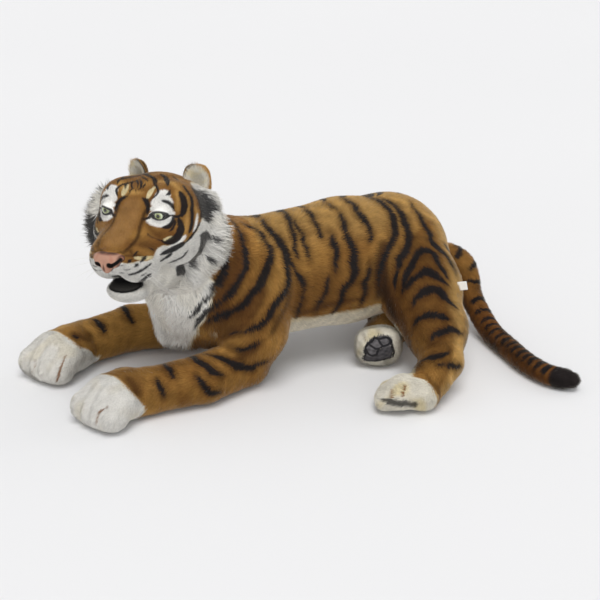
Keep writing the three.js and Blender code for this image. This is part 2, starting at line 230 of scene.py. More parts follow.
SPINE_Z = 185
LOIN = (60, 0, SPINE_Z)
trunk_form = blend(
    16,
    limb((-150, 0, SPINE_Z - 4), 116, LOIN, 121, 0.88),
    limb(LOIN, 121, (160, 6, SPINE_Z - 4), 117, 0.9),
    limb((160, 6, SPINE_Z - 4), 115, (206, 14, 124), 100, 0.96),
)
breast_form = blend(
    40, limb((-262, -6, 196), 78, (-262, 18, 112), 52), ellipsoid((-200, 15, 150), (72, 84, 100))
)
neck_form = limb((-150, 0, 196), 90, (-268, -20, 284), 80)


class Foreleg:
    RADII = (58, 48, 45, 42, 38)
    HIGH_Z = 110  # where the upper arm meets the chest

    def __init__(self, side, shoulder, elbow, knee, wrist, paw, forward):
        high = (elbow[0] + 18, elbow[1] + side * 2, self.HIGH_Z)
        self.line = np.array([shoulder, high, elbow, knee, wrist, paw], np.float32)
        stations = list(zip(self.line[1:], self.RADII))
        self.form = blend(30, limb(shoulder, 70, high, 60), chain(8, *stations))
        self.paw = Place(paw, forward)
        toes = [
            limb((0, k * 19, 10), 28, (36 - 2.5 * k - 2 * abs(k), k * 20, -6), 30.5)
            for k in (-1.5, -0.5, 0.5, 1.5)
        ]
        creases = [
            chain(
                2,
                ((20, k * 22, 50), 1),
                ((58 - 3 * abs(k), k * 24, 20), 5),
                ((68 - 3 * abs(k), k * 25, -8), 6),
                ((68 - 3 * abs(k), k * 25, -34), 6),
            )
            for k in (-1, 0, 1)
        ]
        whole = blend(12, limb((-26, 0, 8), 44, (8, 0, 8), 43, 1.12), *toes)
        self.paw_form = self.paw.form(carve(6, whole, blend(2, *creases)))


left_arm = Foreleg(
    -1, (-140, -52, 205), (-168, -62, 47), (-262, -94, 44.5), (-366, -90, 41.5), (-431, -95, 38),
    (-0.93, -0.36, 0),
)
right_arm = Foreleg(
    1, (-140, 62, 205), (-195, 138, 47), (-308, 168, 44.5), (-410, 150, 41.5), (-467, 119, 38),
    (-0.91, -0.41, 0),
)

HIP = (182, -92, 140)
SHANK = (174, -172, 92)
ANKLE = (146, -242, 62)
INSTEP, HEEL = (112, -268, 46), (88, -284, 34)
left_hind_form = blend(
    24,
    limb((180, -20, 188), 90, HIP, 78),
    limb(HIP, 76, SHANK, 57),
    chain(12, (SHANK, 56), (ANKLE, 40), (INSTEP, 35), (HEEL, 31)),
)
left_foot = Place((55, -273, 34), (-0.79, 0.61, -0.02))
left_foot_toes = [
    limb((4, k * 17, -1), 22, (38 - 4 * abs(k), k * 18, -11), 18) for k in (-1.3, -0.4, 0.5, 1.4)
]
left_foot_creases = [limb((22, k * 17, 30), 1, (56, k * 19, -4), 3) for k in (-0.85, 0.05, 0.95)]
left_foot_form = left_foot.form(
    carve(5, blend(12, limb((-30, 0, 0), 32, (4, 0, -1), 32), *left_foot_toes), blend(2, *left_foot_creases))
)
RIGHT_HAUNCH, RIGHT_SHANK = (215, 45, 79), (180, -10, 57)
RIGHT_ANKLE, RIGHT_FOOT = (122, -70, 48), (94, -108, 44)
right_hind_form = blend(
    20, limb(RIGHT_HAUNCH, 80, RIGHT_SHANK, 56), limb((180, -10, 58), 52, RIGHT_ANKLE, 38)
)
right_foot = Place(RIGHT_FOOT, (-0.42, -0.9, 0.05))
right_foot_creases = [
    limb((10, -2, 47), 5.5, (22, -2, 31), 2.5), limb((10, -44, 31), 5.5, (22, -33, 17), 2.5),
    limb((10, -56, -12), 5.5, (22, -42, -20), 2.5),
]
right_foot_form = right_foot.form(
    carve(
        4,
        blend(9, limb((-34, 0, 0), 36, (-8, 0, 0), 38), squared((22, 52, 45.5), (0, -6.5, 0))),
        blend(2, *right_foot_creases),
    )
)

TAIL_KNOTS = [
    (262, 22, 160), (306, 15, 149), (335, 5, 130), (345, -4, 101), (340, -26, 72), (343, -60, 41),
    (341, -110, 22), (336, -180, 20), (332, -245, 20), (341, -304, 20), (366, -341, 21),
]
TAIL = curve(TAIL_KNOTS, steps=3)
TAIL_RADII = np.append(np.linspace(25, 20, len(TAIL) - 1), 17)
tail_form = chain(3, *zip(TAIL, TAIL_RADII))

# In the head's own frame +X is forward, +Y is the animal's left and +Z is up.
HEAD_YAW, HEAD_PITCH = math.radians(36), math.radians(3.3)
head = Place(
    (-317, -37, 335),
    (
        -math.cos(HEAD_YAW) * math.cos(HEAD_PITCH),
        -math.sin(HEAD_YAW) * math.cos(HEAD_PITCH),
        math.sin(HEAD_PITCH),
    ),
    5,
)


def both(centre, radii):
    """An ellipsoid on each side of the head."""
    return [ellipsoid((centre[0], side * centre[1], centre[2]), radii) for side in (1, -1)]


skull_form = blend(
    18,
    ellipsoid((-5, 0, 8), (90, 96, 80)),
    *both((32, 60, -10), (49, 42, 49)),
    *both((22, 52, 44), (42, 38, 38)),
)
muzzle_form = blend(
    16,
    limb((60, 0, 8), 34, (130, 0, -27), 25, 1.5),
    *both((100, 28, -34), (43, 36, 38)),
    *both((58, 34, -16), (46, 32, 36)),
)
nose_form = ellipsoid((139, 0, -25), (18, 28, 14))
chin_form = blend(14, ellipsoid((97, 0, -90), (38, 40, 23)), ellipsoid((42, 0, -68), (58, 64, 40)))
mouth_corners = [limb((120, side * 40, -74), 6.5, (102, side * 54, -65), 3) for side in (1, -1)]
mouth_form = blend(
    4, ellipsoid((140, 0, -76), (44, 48, 7.5)), limb((154, 0, -66), 3, (122, 0, -72), 4), *mouth_corners
)
lips_form = blend(4, *both((106, 27, -47.5), (32, 25, 23)))
ruff_form = blend(
    24,
    ellipsoid((-28, 50, -18), (38, 76, 84)),
    ellipsoid((-10, -68, -20), (40, 90, 94)),
    ellipsoid((-4, 0, -84), (56, 82, 50)),
    *both((-36, 74, 34), (24, 28, 32)),
)
face_form = blend(
    6, carve(7, blend(10, blend(16, skull_form, muzzle_form), chin_form, nose_form), mouth_form), lips_form
)


def nose_shape(q):
    """The pink nose in head coordinates, before its nostrils are cut."""
    whole = ellipsoid((144, 0, -20), (18, 31, 9))(q)
    for side in (1, -1):
        whole = soft_min(7, whole, ellipsoid((151, side * 12, -27), (12, 12, 9))(q))
    return soft_min(9, whole, ellipsoid((152, 0, -36), (10, 7, 10))(q))


# ---------------------------------------------------------------- the skin, under the pile by its depth

EYE_F, EYE_L, EYE_U = 65, 54, 37
EYE_RADIUS = 10.5
EYE_OUTWARD = 20  # degrees that each eye looks away from straight ahead
PILE = {
    "trunk": 6.5,
    "neck": 10,
    "breast": 15,
    "arm": 6.5,
    "paw": 4.5,
    "hind": 6.5,
    "foot": 4.5,
    "tail": 6,
    "face": 2.2,
    "ruff": 20,
}


def eye_place(side):
    turn = math.radians(EYE_OUTWARD) * side
    return Place(head.out((EYE_F, side * EYE_L, EYE_U)), head.turned((math.cos(turn), math.sin(turn), 0)))


SIDES = {1: "left", -1: "right"}
eyes = {side: eye_place(side) for side in SIDES}
LID_HALF_WIDTH, LID_ABOVE, LID_BELOW = 12.5, 5.0, 6.2
RIM_HALF_WIDTH, RIM_ABOVE, RIM_BELOW = 20.0, 9.5, 8.2


def with_lids(form):
    """A form with a lid round each eye, open in an almond shape over the eyeball."""

    def lidded(p):
        whole = form(p)
        for place in eyes.values():
            near = length_of(p - place.origin) < 34
            if not near.any():
                continue
            q = place.into(p[near])
            ball = length_of(q)
            lid = soft_min(7, whole[near], ball - 12.2)
            high = np.where(q[:, 2] > 0, LID_ABOVE, LID_BELOW)
            almond = np.abs(q[:, 2]) - high * (1 - (q[:, 1] / LID_HALF_WIDTH) ** 2)
            opening = np.maximum(almond * 0.8, 2 - q[:, 0])
            opened = -soft_min(1.5, -lid, opening)
            whole[near] = np.minimum(opened, ball - EYE_RADIUS + 0.8)
        return whole

    return lidded


def lip_groove(q):
    """The line between the upper lips, from the nose down."""
    return limb((158, 0, -44), 2, (136, 0, -72), 5)(q)


face_skin = carve(5, inset(face_form, PILE["face"]), lip_groove)


def united(part):
    """The whole body without the tail, each part's form passed through part(form, name)."""
    return blend(
        16,
        blend(30, part(trunk_form, "trunk"), part(neck_form, "neck"), part(breast_form, "breast")),
        part(left_arm.form, "arm"),
        part(right_arm.form, "arm"),
        part(left_arm.paw_form, "paw"),
        part(right_arm.paw_form, "paw"),
        part(left_hind_form, "hind"),
        part(left_foot_form, "foot"),
        part(right_hind_form, "hind"),
        part(right_foot_form, "foot"),
    )


coat_form = blend(16, united(lambda form, name: form), head.form(blend(14, face_form, ruff_form)))
tips_form = blend(8, coat_form, tail_form)
skin_form = blend(
    8,
    with_lids(
        blend(
            16,
            united(lambda form, name: inset(form, PILE[name])),
            head.form(blend(14, face_skin, inset(ruff_form, PILE["ruff"]))),
        )
    ),
    inset(tail_form, PILE["tail"]),
)

# ---------------------------------------------------------------- meshing

CHUNK = 60_000


def evaluate(form, points):
    """form at the points, in chunks on four threads."""
    points = np.asarray(points, np.float32)
    chunks = np.array_split(points, max(1, math.ceil(len(points) / CHUNK)))
    with ThreadPoolExecutor(4) as pool:
        return np.concatenate(list(pool.map(form, chunks)))


def slope(form, points):
    """The form's gradient at the points."""
    steps = np.eye(3, dtype=np.float32) / 2
    return np.stack([evaluate(form, points + s) - evaluate(form, points - s) for s in steps], -1)


def settle(form, points, rounds=2):
    """The points moved onto the form's surface."""
    for _ in range(rounds):
        grad = slope(form, points)
        share = evaluate(form, points) / np.maximum((grad * grad).sum(-1), 0.15)
        points = points - np.clip(share, -4, 4)[:, None] * grad
    return points


def sample(form, low, shape, cell):
    """The form on a grid: exact near its surface, and only right in sign elsewhere."""
    ratio = 4
    coarse_shape = [n // ratio + 2 for n in shape]
    index = np.stack(np.meshgrid(*[np.arange(n) for n in coarse_shape], indexing="ij"), -1)
    coarse = evaluate(form, low + index.reshape(-1, 3) * cell * ratio).reshape(coarse_shape)
    nearest = [(np.arange(n) + ratio // 2) // ratio for n in shape]
    values = coarse[np.ix_(*nearest)]
    close = np.abs(values) < cell * ratio * 1.35
    values[close] = evaluate(form, low + np.argwhere(close) * np.float32(cell))
    return values


def surface_net(form, low, high, cell):
    """The form's surface between low and high as (vertices, triangles)."""
    low = vec(*low)
    shape = np.ceil((vec(*high) - low) / cell).astype(int) + 1
    values = sample(form, low, shape, cell)
    inside = values < 0
    count = np.zeros([n - 1 for n in shape], np.int8)
    corners = [(i, j, k) for i in (0, 1) for j in (0, 1) for k in (0, 1)]
    for i, j, k in corners:
        count += inside[i : shape[0] - 1 + i, j : shape[1] - 1 + j, k : shape[2] - 1 + k]
    cells = np.argwhere((count > 0) & (count < 8))
    number = np.full(count.shape, -1)
    number[tuple(cells.T)] = np.arange(len(cells))
    total, crossings = np.zeros((len(cells), 3), np.float32), np.zeros(len(cells), np.float32)
    for start in corners:
        for axis in range(3):
            if start[axis]:
                continue
            end = [s + (i == axis) for i, s in enumerate(start)]
            a, b = values[tuple((cells + start).T)], values[tuple((cells + end).T)]
            crossed = (a < 0) != (b < 0)
            share = np.where(crossed, a / np.where(crossed, a - b, 1), 0)
            place = np.array(start) + share[:, None] * np.eye(3)[axis]
            total += np.where(crossed[:, None], place, 0)
            crossings += crossed
    vertices = low + cell * (cells + total / crossings[:, None])
    quads = []
    for axis in range(3):
        ahead = np.roll(inside, -1, axis)
        places = np.argwhere(inside != ahead)
        good = (places[:, axis] < shape[axis] - 1) & (np.delete(places, axis, 1) > 0).all(1)
        good &= (np.delete(places, axis, 1) < np.delete(shape, axis) - 1).all(1)
        places = places[good]
        one, two = (np.eye(3, dtype=int)[(axis + 1) % 3], np.eye(3, dtype=int)[(axis + 2) % 3])
        ring = np.stack([number[tuple((places - s).T)] for s in (0 * one, one, one + two, two)], 1)
        turned = ~inside[tuple(places.T)]
        ring[turned] = ring[turned][:, ::-1]
        quads.append(ring)
    return vertices.astype(np.float32), split(vertices, np.concatenate(quads))


def split(vertices, quads):
    """Quads as triangles, cut along their shorter diagonal."""
    a, b, c, d = quads.T
    short = length_of(vertices[a] - vertices[c]) < length_of(vertices[b] - vertices[d])
    one = np.where(short[:, None], np.stack([a, b, c], 1), np.stack([a, b, d], 1))
    two = np.where(short[:, None], np.stack([a, c, d], 1), np.stack([b, c, d], 1))
    return np.concatenate([one, two])


def relax(form, vertices, triangles, share=0.5):
    """Evens out the triangles, and puts the vertices back on the form."""
    total, count = np.zeros_like(vertices), np.zeros(len(vertices), np.float32)
    for a, b in ((0, 1), (1, 2), (2, 0)):
        for one, two in ((a, b), (b, a)):
            for axis in range(3):
                total[:, axis] += np.bincount(
                    triangles[:, one], vertices[triangles[:, two], axis], len(vertices)
                )
            count += np.bincount(triangles[:, one], minlength=len(vertices))
    middle = total / np.maximum(count, 1)[:, None]
    return settle(form, vertices + (middle - vertices) * share)


def refine(form, vertices, triangles, wanted):
    """Triangles whose corners are all wanted cut in four, and those beside them in two."""
    edges = np.sort(np.stack([triangles, np.roll(triangles, -1, 1)], -1), -1)
    cut = wanted[edges].all(-1)
    pairs, index = np.unique(edges[cut], axis=0, return_inverse=True)
    middle = np.full(cut.shape, -1)
    middle[cut] = len(vertices) + index.reshape(-1)
    new = settle(form, vertices[pairs].mean(1))
    whole, one_cut = cut.all(1), cut.sum(1) == 1
    kept = [triangles[~whole & ~one_cut]]
    (a, b, c), (ab, bc, ca) = triangles[whole].T, middle[whole].T
    kept += [np.stack(t, 1) for t in ((a, ab, ca), (ab, b, bc), (ca, bc, c), (ab, bc, ca))]
    for edge in range(3):
        rows = one_cut & cut[:, edge]
        turned, m = np.roll(triangles[rows], -edge, 1), middle[rows, edge]
        a, b, c = turned.T
        kept += [np.stack([a, m, c], 1), np.stack([m, b, c], 1)]
    return np.concatenate([vertices, new]), np.concatenate(kept)


# ---------------------------------------------------------------- from the pose frame to Blender

eye_low, eye_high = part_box("eye_left")
SHIFT = np.array((eye_low + eye_high) / 2) * 1000 - eyes[1].origin


def to_row(points):
    return (points + SHIFT) / 1000


def linear(r, g, b):
    """A colour given as 0 to 255 on the screen, as the linear light that Blender takes."""
    c = np.array((r, g, b), np.float32) / 255
    return np.where(c <= 0.04045, c / 12.92, ((c + 0.055) / 1.055) ** 2.4).astype(np.float32)


def new_piece(name, points, triangles, colours, normals=None, uv=None):
    """A mesh object from pose-frame points, with a colour for each vertex in the attribute coat."""
    mesh = bpy.data.meshes.new(name)
    mesh.vertices.add(len(points))
    mesh.vertices.foreach_set("co", to_row(points).astype(np.float32).ravel())
    mesh.loops.add(triangles.size)
    mesh.loops.foreach_set("vertex_index", triangles.astype(np.int32).ravel())
    mesh.polygons.add(len(triangles))
    mesh.polygons.foreach_set("loop_start", np.arange(0, triangles.size, 3, dtype=np.int32))
    mesh.polygons.foreach_set("use_smooth", np.ones(len(triangles), bool))
    mesh.update(calc_edges=True)
    coat = mesh.color_attributes.new("coat", "FLOAT_COLOR", "POINT")
    rgba = np.ones((len(points), 4), np.float32)
    rgba[:, :3] = colours
    coat.data.foreach_set("color", rgba.ravel())
    if uv is not None:
        layer = mesh.uv_layers.new(name="OFBake")
        layer.uv.foreach_set("vector", uv[triangles.ravel()].astype(np.float32).ravel())
    if normals is not None:
        mesh.normals_split_custom_set_from_vertices(normals.astype(np.float32))
    piece = bpy.data.objects.new(name, mesh)
    bpy.context.scene.collection.objects.link(piece)
    return piece


# ---------------------------------------------------------------- markings
# Each mark is (its width, the picture pixels that its middle line runs through). The marks are cast from the
# camera onto the tips of the coat, and the hidden side repeats those of the side that shows.

TRUNK_STRIPES = {
    "neck": (
        5,
        [
            (229, 217), (236, 223), (244, 239), (247, 257), (243, 275), (234, 291), (225, 301),
            (211, 317.5),
        ],
    ),
    "shoulder_front": (
        6.5,
        [
            (245, 222), (257, 228), (267, 241), (272, 251), (270.5, 264), (262.5, 282), (254, 294),
            (243, 307), (227, 316), (204, 326),
        ],
    ),
    "shoulder_tip": (7.5, [(234, 313), (219, 319.5), (206, 325.5)]),
    "collar": (7.5, [(230, 248), (227, 262), (222.5, 275), (216, 287), (210, 297)]),
    "shoulder_back": (
        6.5,
        [
            (246, 215), (259, 216), (271, 228), (282, 242.5), (289, 259), (290, 280), (286, 294),
            (275, 309), (268, 321), (255, 330), (229, 335),
        ],
    ),
    "shoulder_thin": (4, [(282, 242.5), (293, 264), (304, 282), (304.5, 294), (300, 310), (295.5, 326)]),
    "withers": (5, [(279, 206), (289, 216), (295, 234), (297, 251), (300, 259)]),
    "withers_twin": (4, [(295, 217.5), (303, 232), (308, 246), (311, 262)]),
    "back_short": (5, [(305, 206), (314, 216), (320.5, 230), (324, 238)]),
    "side_short": (5, [(331, 229), (337, 248), (337, 266), (335, 276)]),
    "side_low": (4, [(329.5, 277), (328, 291), (321, 303), (317, 316)]),
    "flank": (
        6,
        [
            (326, 200.5), (339, 210), (346, 221), (345, 228), (354, 246), (356, 262), (354, 280),
            (345, 291), (341, 305), (333, 317.5),
        ],
    ),
    "flank_top": (6, [(342, 196), (354, 203), (361, 214), (370, 225), (372, 234), (370.5, 242)]),
    "flank_low": (4.5, [(372, 260), (370.5, 273), (366, 284), (367, 291), (362.5, 307)]),
    "hip_front": (
        6,
        [
            (359, 192.5), (375, 198), (389, 207), (395, 221), (395.5, 234), (392, 246), (386, 259),
            (382, 269), (380, 287),
        ],
    ),
    "hip": (
        6,
        [
            (379, 196), (395, 203), (404, 216), (409, 228), (411, 241), (405, 253), (400, 260),
            (395.5, 276), (394, 291),
        ],
    ),
    "rump_top": (5.5, [(411, 200), (421, 216), (430, 232), (434, 242.5), (443, 251), (450, 259), (457, 273)]),
    "rump": (4.5, [(439, 219), (450, 234), (457, 248)]),
    "rump_low": (4, [(446, 244), (455, 260)]),
    "thigh_top": (
        6,
        [(402, 296), (405, 280), (412.5, 264), (420, 253), (427, 250.5), (434, 253), (441, 266), (450, 280)],
    ),
    "thigh_second": (5.5, [(404, 292.5), (412.5, 280), (425, 272), (434, 274), (443, 281), (450, 287)]),
    "thigh_third": (7, [(411, 309), (418, 298), (430, 291), (441, 292.5), (450, 301), (457, 307)]),
}
LIMB_STRIPES = {
    "shank_top": (5.5, [(412.5, 328), (418, 319), (430, 316), (441, 317), (452, 320)]),
    "shank": (5.5, [(429, 342.5), (434, 337), (446, 332), (454, 330), (464, 334.5)]),
    "shank_low": (5.5, [(416, 363.5), (424, 358), (436, 356.5), (451, 351.5)]),
    "heel": (5, [(437, 364), (448, 365.5), (462, 369.5)]),
}
ARM_STRIPES = {
    "wrist_top": (5, [(162, 361), (167, 368), (175, 379)]),
    "wrist": (4.5, [(155, 377), (160, 388), (166, 400)]),
    "forearm_low": (5.5, [(193, 375), (200.5, 384), (210, 394), (221, 395)]),
    "forearm": (5.5, [(187, 353), (197, 360), (210, 369.5), (224.5, 377)]),
    "elbow": (6, [(206, 353), (223, 358), (237.5, 366), (250, 370), (258, 366), (269, 362)]),
    "elbow_top": (4, [(226, 348), (239, 352), (252, 349), (261.5, 343)]),
}
FAR_ARM_STRIPES = {
    "far_elbow": (5, [(119, 304), (126.5, 312), (132, 323)]),
    "far_forearm": (5, [(90.5, 318), (97, 321), (104, 333.5)]),
    "far_wrist": (4, [(72, 335), (80, 338)]),
}
BIB_STRIPES = {
    "bib_a": (5.5, [(204, 278), (196, 288), (192, 298)]),
    "bib_b": (6, [(213, 294), (200.5, 308.5), (189, 320)]),
    "bib_c": (6, [(223, 301), (204, 318), (191, 334)]),
}
FACE_MARKS = {
    "brow_inner": (4.2, [(142.7, 197.1), (146.5, 200.9), (148.1, 208.6), (147.5, 212.9)]),
    "between_patches": (2.6, [(152.7, 178.9), (155.6, 183.7), (158, 188.5), (156.6, 193.3), (151.8, 198.1)]),
    "outer_brow": (3.4, [(161.3, 200), (166.6, 201.1), (171.9, 204.3), (174.9, 210)]),
    "brow_spot": (3.2, [(170.4, 189), (169, 193.1), (166.6, 194.2)]),
    "lid_line": (2.6, [(141.2, 217.7), (147, 217.7), (151.3, 216.1)]),
    "eye_corner": (2.4, [(170.9, 214.3), (176.7, 216.7), (181.4, 214.8), (183.5, 211.5)]),
    "under_eye_black": (4, [(162.8, 227), (169, 226), (173.3, 221), (174.3, 216.2)]),
    "under_eye_arc": (2.3, [(169.5, 231.6), (174.3, 226.3), (176.8, 218.9)]),
    "temple": (7, [(181, 191.8), (184.8, 200), (185.1, 208.6), (182.9, 214.8)]),
    "cheek_line": (1.5, [(146, 230.6), (151.8, 236.3), (159.4, 239.7), (163.7, 241.6)]),
    "cheek_spot": (4.6, [(162.5, 240.6), (165.6, 243.5)]),
    "cheek_crescent": (6.8, [(166.1, 242.8), (173.3, 240.6), (179.5, 234.9), (182, 226.8), (179.5, 218.6)]),
    "cheek_dash": (1.6, [(148.7, 246.7), (152.2, 248.6), (156.3, 251.3)]),
    "side_two": (
        4.4,
        [
            (183.8, 184.7), (190, 193.3), (193.1, 200.9), (193.1, 208.6), (193.4, 216.2), (192.2, 225.8),
            (189.9, 232.7),
        ],
    ),
    "side_three": (5, [(193.4, 188), (198.7, 195.2), (202.3, 202.8), (203.7, 210.5), (202.3, 218.6)]),
    "face_edge": (2.4, [(201.7, 221), (196.9, 230.1), (190, 239.2), (184.3, 243.5)]),
    "cheek_low": (5.2, [(162.5, 254.5), (170, 251.5), (178.6, 246.9), (186.2, 242.6)]),
    "cheek_low_twin": (3.4, [(161.3, 261.4), (166.6, 258.8), (172.8, 253.6)]),
    "jaw_line": (2.6, [(164.7, 266.2), (175.7, 261.2), (183.3, 257.4), (188.9, 250.7)]),
    "whisker_a": (2.4, [(138.6, 250.5), (133.6, 256.9)]),
    "whisker_b": (3.2, [(131.9, 259.5), (127.7, 263.3)]),
    "whisker_c": (3.2, [(147.5, 255.7), (141.7, 262.4)]),
    "whisker_d": (3.2, [(139.1, 264.3), (135, 267.7)]),
    "whisker_e": (2.8, [(152.5, 263.1), (147, 267.9), (137.4, 273.7), (128.8, 275.8)]),
    "whisker_f": (1.8, [(147, 273.7), (141.2, 277)]),
    "whisker_dots": (1.4, [(124.2, 266.3), (116.4, 267)]),
    "whisker_dots_low": (1.4, [(131.7, 269.4), (126.9, 271.1), (121.9, 270.8)]),
    "whisker_dots_lip": (1.4, [(126.4, 274.6), (118.1, 273.7)]),
    "mouth_corner": (7, [(127, 288), (134, 286), (140, 283), (145.5, 279.4), (150.8, 275)]),
    "philtrum": (1.4, [(107.6, 272.1), (109.5, 276.8)]),
    "crown_side": (4.4, [(161.1, 173.4), (166.1, 176.8), (168.2, 184.2)]),
    "crown_back": (2.2, [(173, 175.3), (178.8, 180.1)]),
}
FOREHEAD_MARKS = {  # these are on the camera's side only
    "forehead_a": (2.2, [(121.8, 182.9), (125.2, 182.9), (124.6, 188)]),
    "forehead_b": (
        2.2,
        [
            (132.4, 188), (130.7, 183.7), (132.8, 180.3), (136.7, 180.1), (138.4, 182.9), (137.2, 187.1),
        ],
    ),
    "forehead_c": (2.6, [(139.5, 179.1), (141.8, 182.3), (140.9, 186.6), (138.2, 188.7)]),
    "forehead_d": (2.2, [(145.3, 182.6), (143.2, 186.8)]),
    "forehead_e": (2.2, [(133.2, 187.1), (130, 189.4), (128.8, 193.3)]),
    "forehead_f": (2, [(135.3, 189), (136.1, 192.1)]),
    "forehead_g": (2.2, [(127.6, 192.8), (126.9, 196.6)]),
    "forehead_h": (1.8, [(127.8, 179.7), (126.5, 183.7), (125.9, 187.1)]),
    "crown_front": (2.4, [(141.2, 175.6), (146, 178), (148.4, 180.1)]),
    "crown_top": (3.6, [(137.4, 171.5), (147, 174.1), (154.6, 178), (156.7, 182.3)]),
    "crown_far": (2.4, [(116.8, 182.8), (119.2, 178.9), (123.1, 176.5), (128.8, 174.6)]),
}
RUFF_SPOTS = {
    "ear_base": (10, [(194.8, 188), (203.4, 191.8), (209.2, 197.1)]),
    "high": (13, [(210.6, 198.5), (213, 205.7), (213.5, 210.5)]),
    "middle": (6, [(207.3, 216.2), (213, 218.6)]),
    "low_a": (14, [(203, 233.9), (206.3, 239.2), (203.9, 246.9)]),
    "low_b": (14, [(203.4, 247.3), (198.7, 255.5), (195.3, 265.5)]),
    "low_c": (12, [(190, 266.5), (181, 273.2)]),
}
WHITE_MARKS = {
    "brow_high": (10, [(156.6, 195.7), (160.4, 192.8), (164.2, 192.3), (168, 194.2)]),
    "brow_middle": (13, [(153.7, 201.9), (158.5, 200.5), (164.2, 200), (170, 202.8)]),
    "brow_low": (9, [(152.2, 208.1), (158.5, 207.2), (164.2, 207.4), (170.9, 209.5)]),
    "brow_lid": (6, [(150, 214.6), (155, 212.4), (164, 211.8), (174, 213)]),
    "under_eye": (6.5, [(148, 219.6), (155, 222.6), (161.8, 223.8), (168, 221.4), (173, 217)]),
    "cheek_stripe": (5, [(170, 247.5), (178, 243.5), (186, 236)]),
    "cheek_side": (4, [(194.5, 232), (197.5, 222), (198.5, 214)]),
}
CREAM_MARKS = {
    "inner_brow": (6.5, [(148.1, 195.7), (150.8, 190.4), (153.7, 187.1)]),
    "cheek_patch": (4.6, [(165.6, 239.7), (173, 237.5)]),
    "muzzle_edge": (4, [(136, 258), (146, 258.5), (153, 257)]),
}
# Tints, partly the toy's airbrushing and partly painted shade and painted highlights: colour, strength,
# softness in mm, then the marks.
BROWN, GOLD, DEEP, BRIDGE, SEAM = (92, 58, 28), (214, 168, 96), (48, 30, 18), (166, 124, 74), (112, 66, 26)
TINTS = [
    # painted shade over the toy's own darker airbrushing: brown in the fold before the thigh, round the
    # shoulder and neck, at the elbow and under the belly
    (BROWN, 0.76, 7, {
        "thigh_front": (22, [(390, 300), (398, 320), (405, 338), (410, 352)]),
        "fold": (13, [(386, 255), (384, 275), (385, 292), (392, 310)]),
        "shoulder_high": (16, [(242, 234), (240, 258), (236, 286)]),
        "shoulder": (24, [(262, 292), (240, 318), (214, 338)]),
        "neck": (20, [(236, 262), (222, 298), (206, 330)]),
        "elbow": (10, [(258, 345), (246, 356), (228, 362)]),
        "belly": (8, [(300, 316), (330, 306), (365, 299)]),
        "far_wrist": (8, [(72, 332), (82, 336), (90, 340)]),
        "wrist": (8, [(126, 376), (135, 386), (137, 394)]),
        "cheek": (9, [(138, 244), (150, 246), (158, 250)]),
        "eye_inner": (5, [(147, 221), (152, 229), (160, 236)]),
    }),
    # painted shade, partly the toy's airbrushing: dark brown deep in the fold before the thigh and behind the
    # shoulder
    (DEEP, 0.8, 9, {
        "fold_deep": (17, [(386, 244), (383, 258), (382, 272), (383, 290), (388, 306), (394, 318)]),
        "behind_shoulder": (7, [(292, 290), (288, 306), (280, 322), (272, 336)]),
    }),
    (SEAM, 0.8, 2.5, {
        "belly_line": (2.2, [(295, 326), (307, 321), (325, 317), (343, 311), (361, 309), (379, 309.5)]),
        "shoulder_seam": (1.2, [(258, 216), (272, 232), (284, 248), (294, 266), (300, 280)]),
        "hind_foot_line": (
            2.6,
            [
                (398.5, 374.2), (407, 373.3), (423, 372.4), (429.7, 379.6), (434.5, 388.9), (435.2, 396.1),
                (433.3, 401.9),
            ],
        ),
    }),
    # painted highlights on the lit top of the back, the back edge of the shank and the tops of the forelegs;
    # on the head, the toy's gold between the stripes
    (GOLD, 0.75, 6, {
        "back": (9, [(250, 212), (300, 204), (350, 195), (400, 198), (440, 222)]),
        "shank_edge": (13, [(462, 296), (466, 322), (461, 350), (450, 382)]),
        "arm_top": (8, [(110, 370), (150, 362), (186, 356)]),
        "far_arm_top": (7, [(46, 333), (82, 317), (119, 304)]),
        "brow": (5, [(119, 180), (126, 190), (142, 192)]),
        "crown": (6, [(158, 180), (172, 182), (182, 190)]),
        "cheek_gold": (4.5, [(187.5, 198), (188.5, 212), (187, 226), (184, 238)]),
        "side_gold": (4.5, [(197, 208), (198.5, 214), (197, 219)]),
        "temple_gold": (4, [(177, 190), (178.6, 200), (178, 209)]),
        "far_brow_gold": (4, [(118.5, 184), (114, 194), (108, 203)]),
    }),
]
BRIDGE_EDGE = {

    "edge": (
        4,
        [
            (147.2, 209.5), (143.4, 217.3), (140.5, 225.8), (138.8, 234.2), (136.9, 238.9), (131.8, 244.7),
            (127.6, 248.4), (122.4, 252.6),
        ],
    ),
    "muzzle_front": (2, [(129.7, 245.2), (132.4, 253.7), (134.8, 257.3)]),
    "nose_shadow": (
        2.6,
        [
            (89.7, 249.4), (94.5, 251.5), (100.3, 253.7), (107.6, 252.9), (115, 251.9), (122.4, 250.5),
        ],
    ),
    "brow_shade": (4, [(146.5, 207), (144.5, 213), (142.5, 219)]),
}
HEAD_TINTS = [  # the same on both sides of the head
    (BRIDGE, 0.75, 7, {"bridge": (24, [(130, 202), (122, 225), (110, 240)])}),
    (DEEP, 0.85, 3, BRIDGE_EDGE),
]
TOE_SEAMS = {
    "near_middle": (1.7, [(106.4, 406.8), (97.8, 414), (95.2, 425.7)]),
    "near_outer": (1.2, [(101.3, 389.5), (97.6, 391.5)]),
    "far_middle": (1.8, [(65.1, 354.8), (61, 365.5), (55.9, 382.9)]),
    "far_outer": (1.1, [(34.5, 361.4), (32.4, 373.7)]),
    "hind_middle": (2.3, [(403.9, 383.6), (401.6, 396.1)]),
    "hind_outer": (2.3, [(390.2, 388.5), (390, 397.9)]),
    "sole_high": (1.6, [(379.3, 325.5), (379.5, 333.5)]),
    "sole_left": (1.6, [(361.2, 334.8), (364.2, 341)]),
    "sole_low": (1.6, [(356.5, 354), (362, 356.3)]),
}
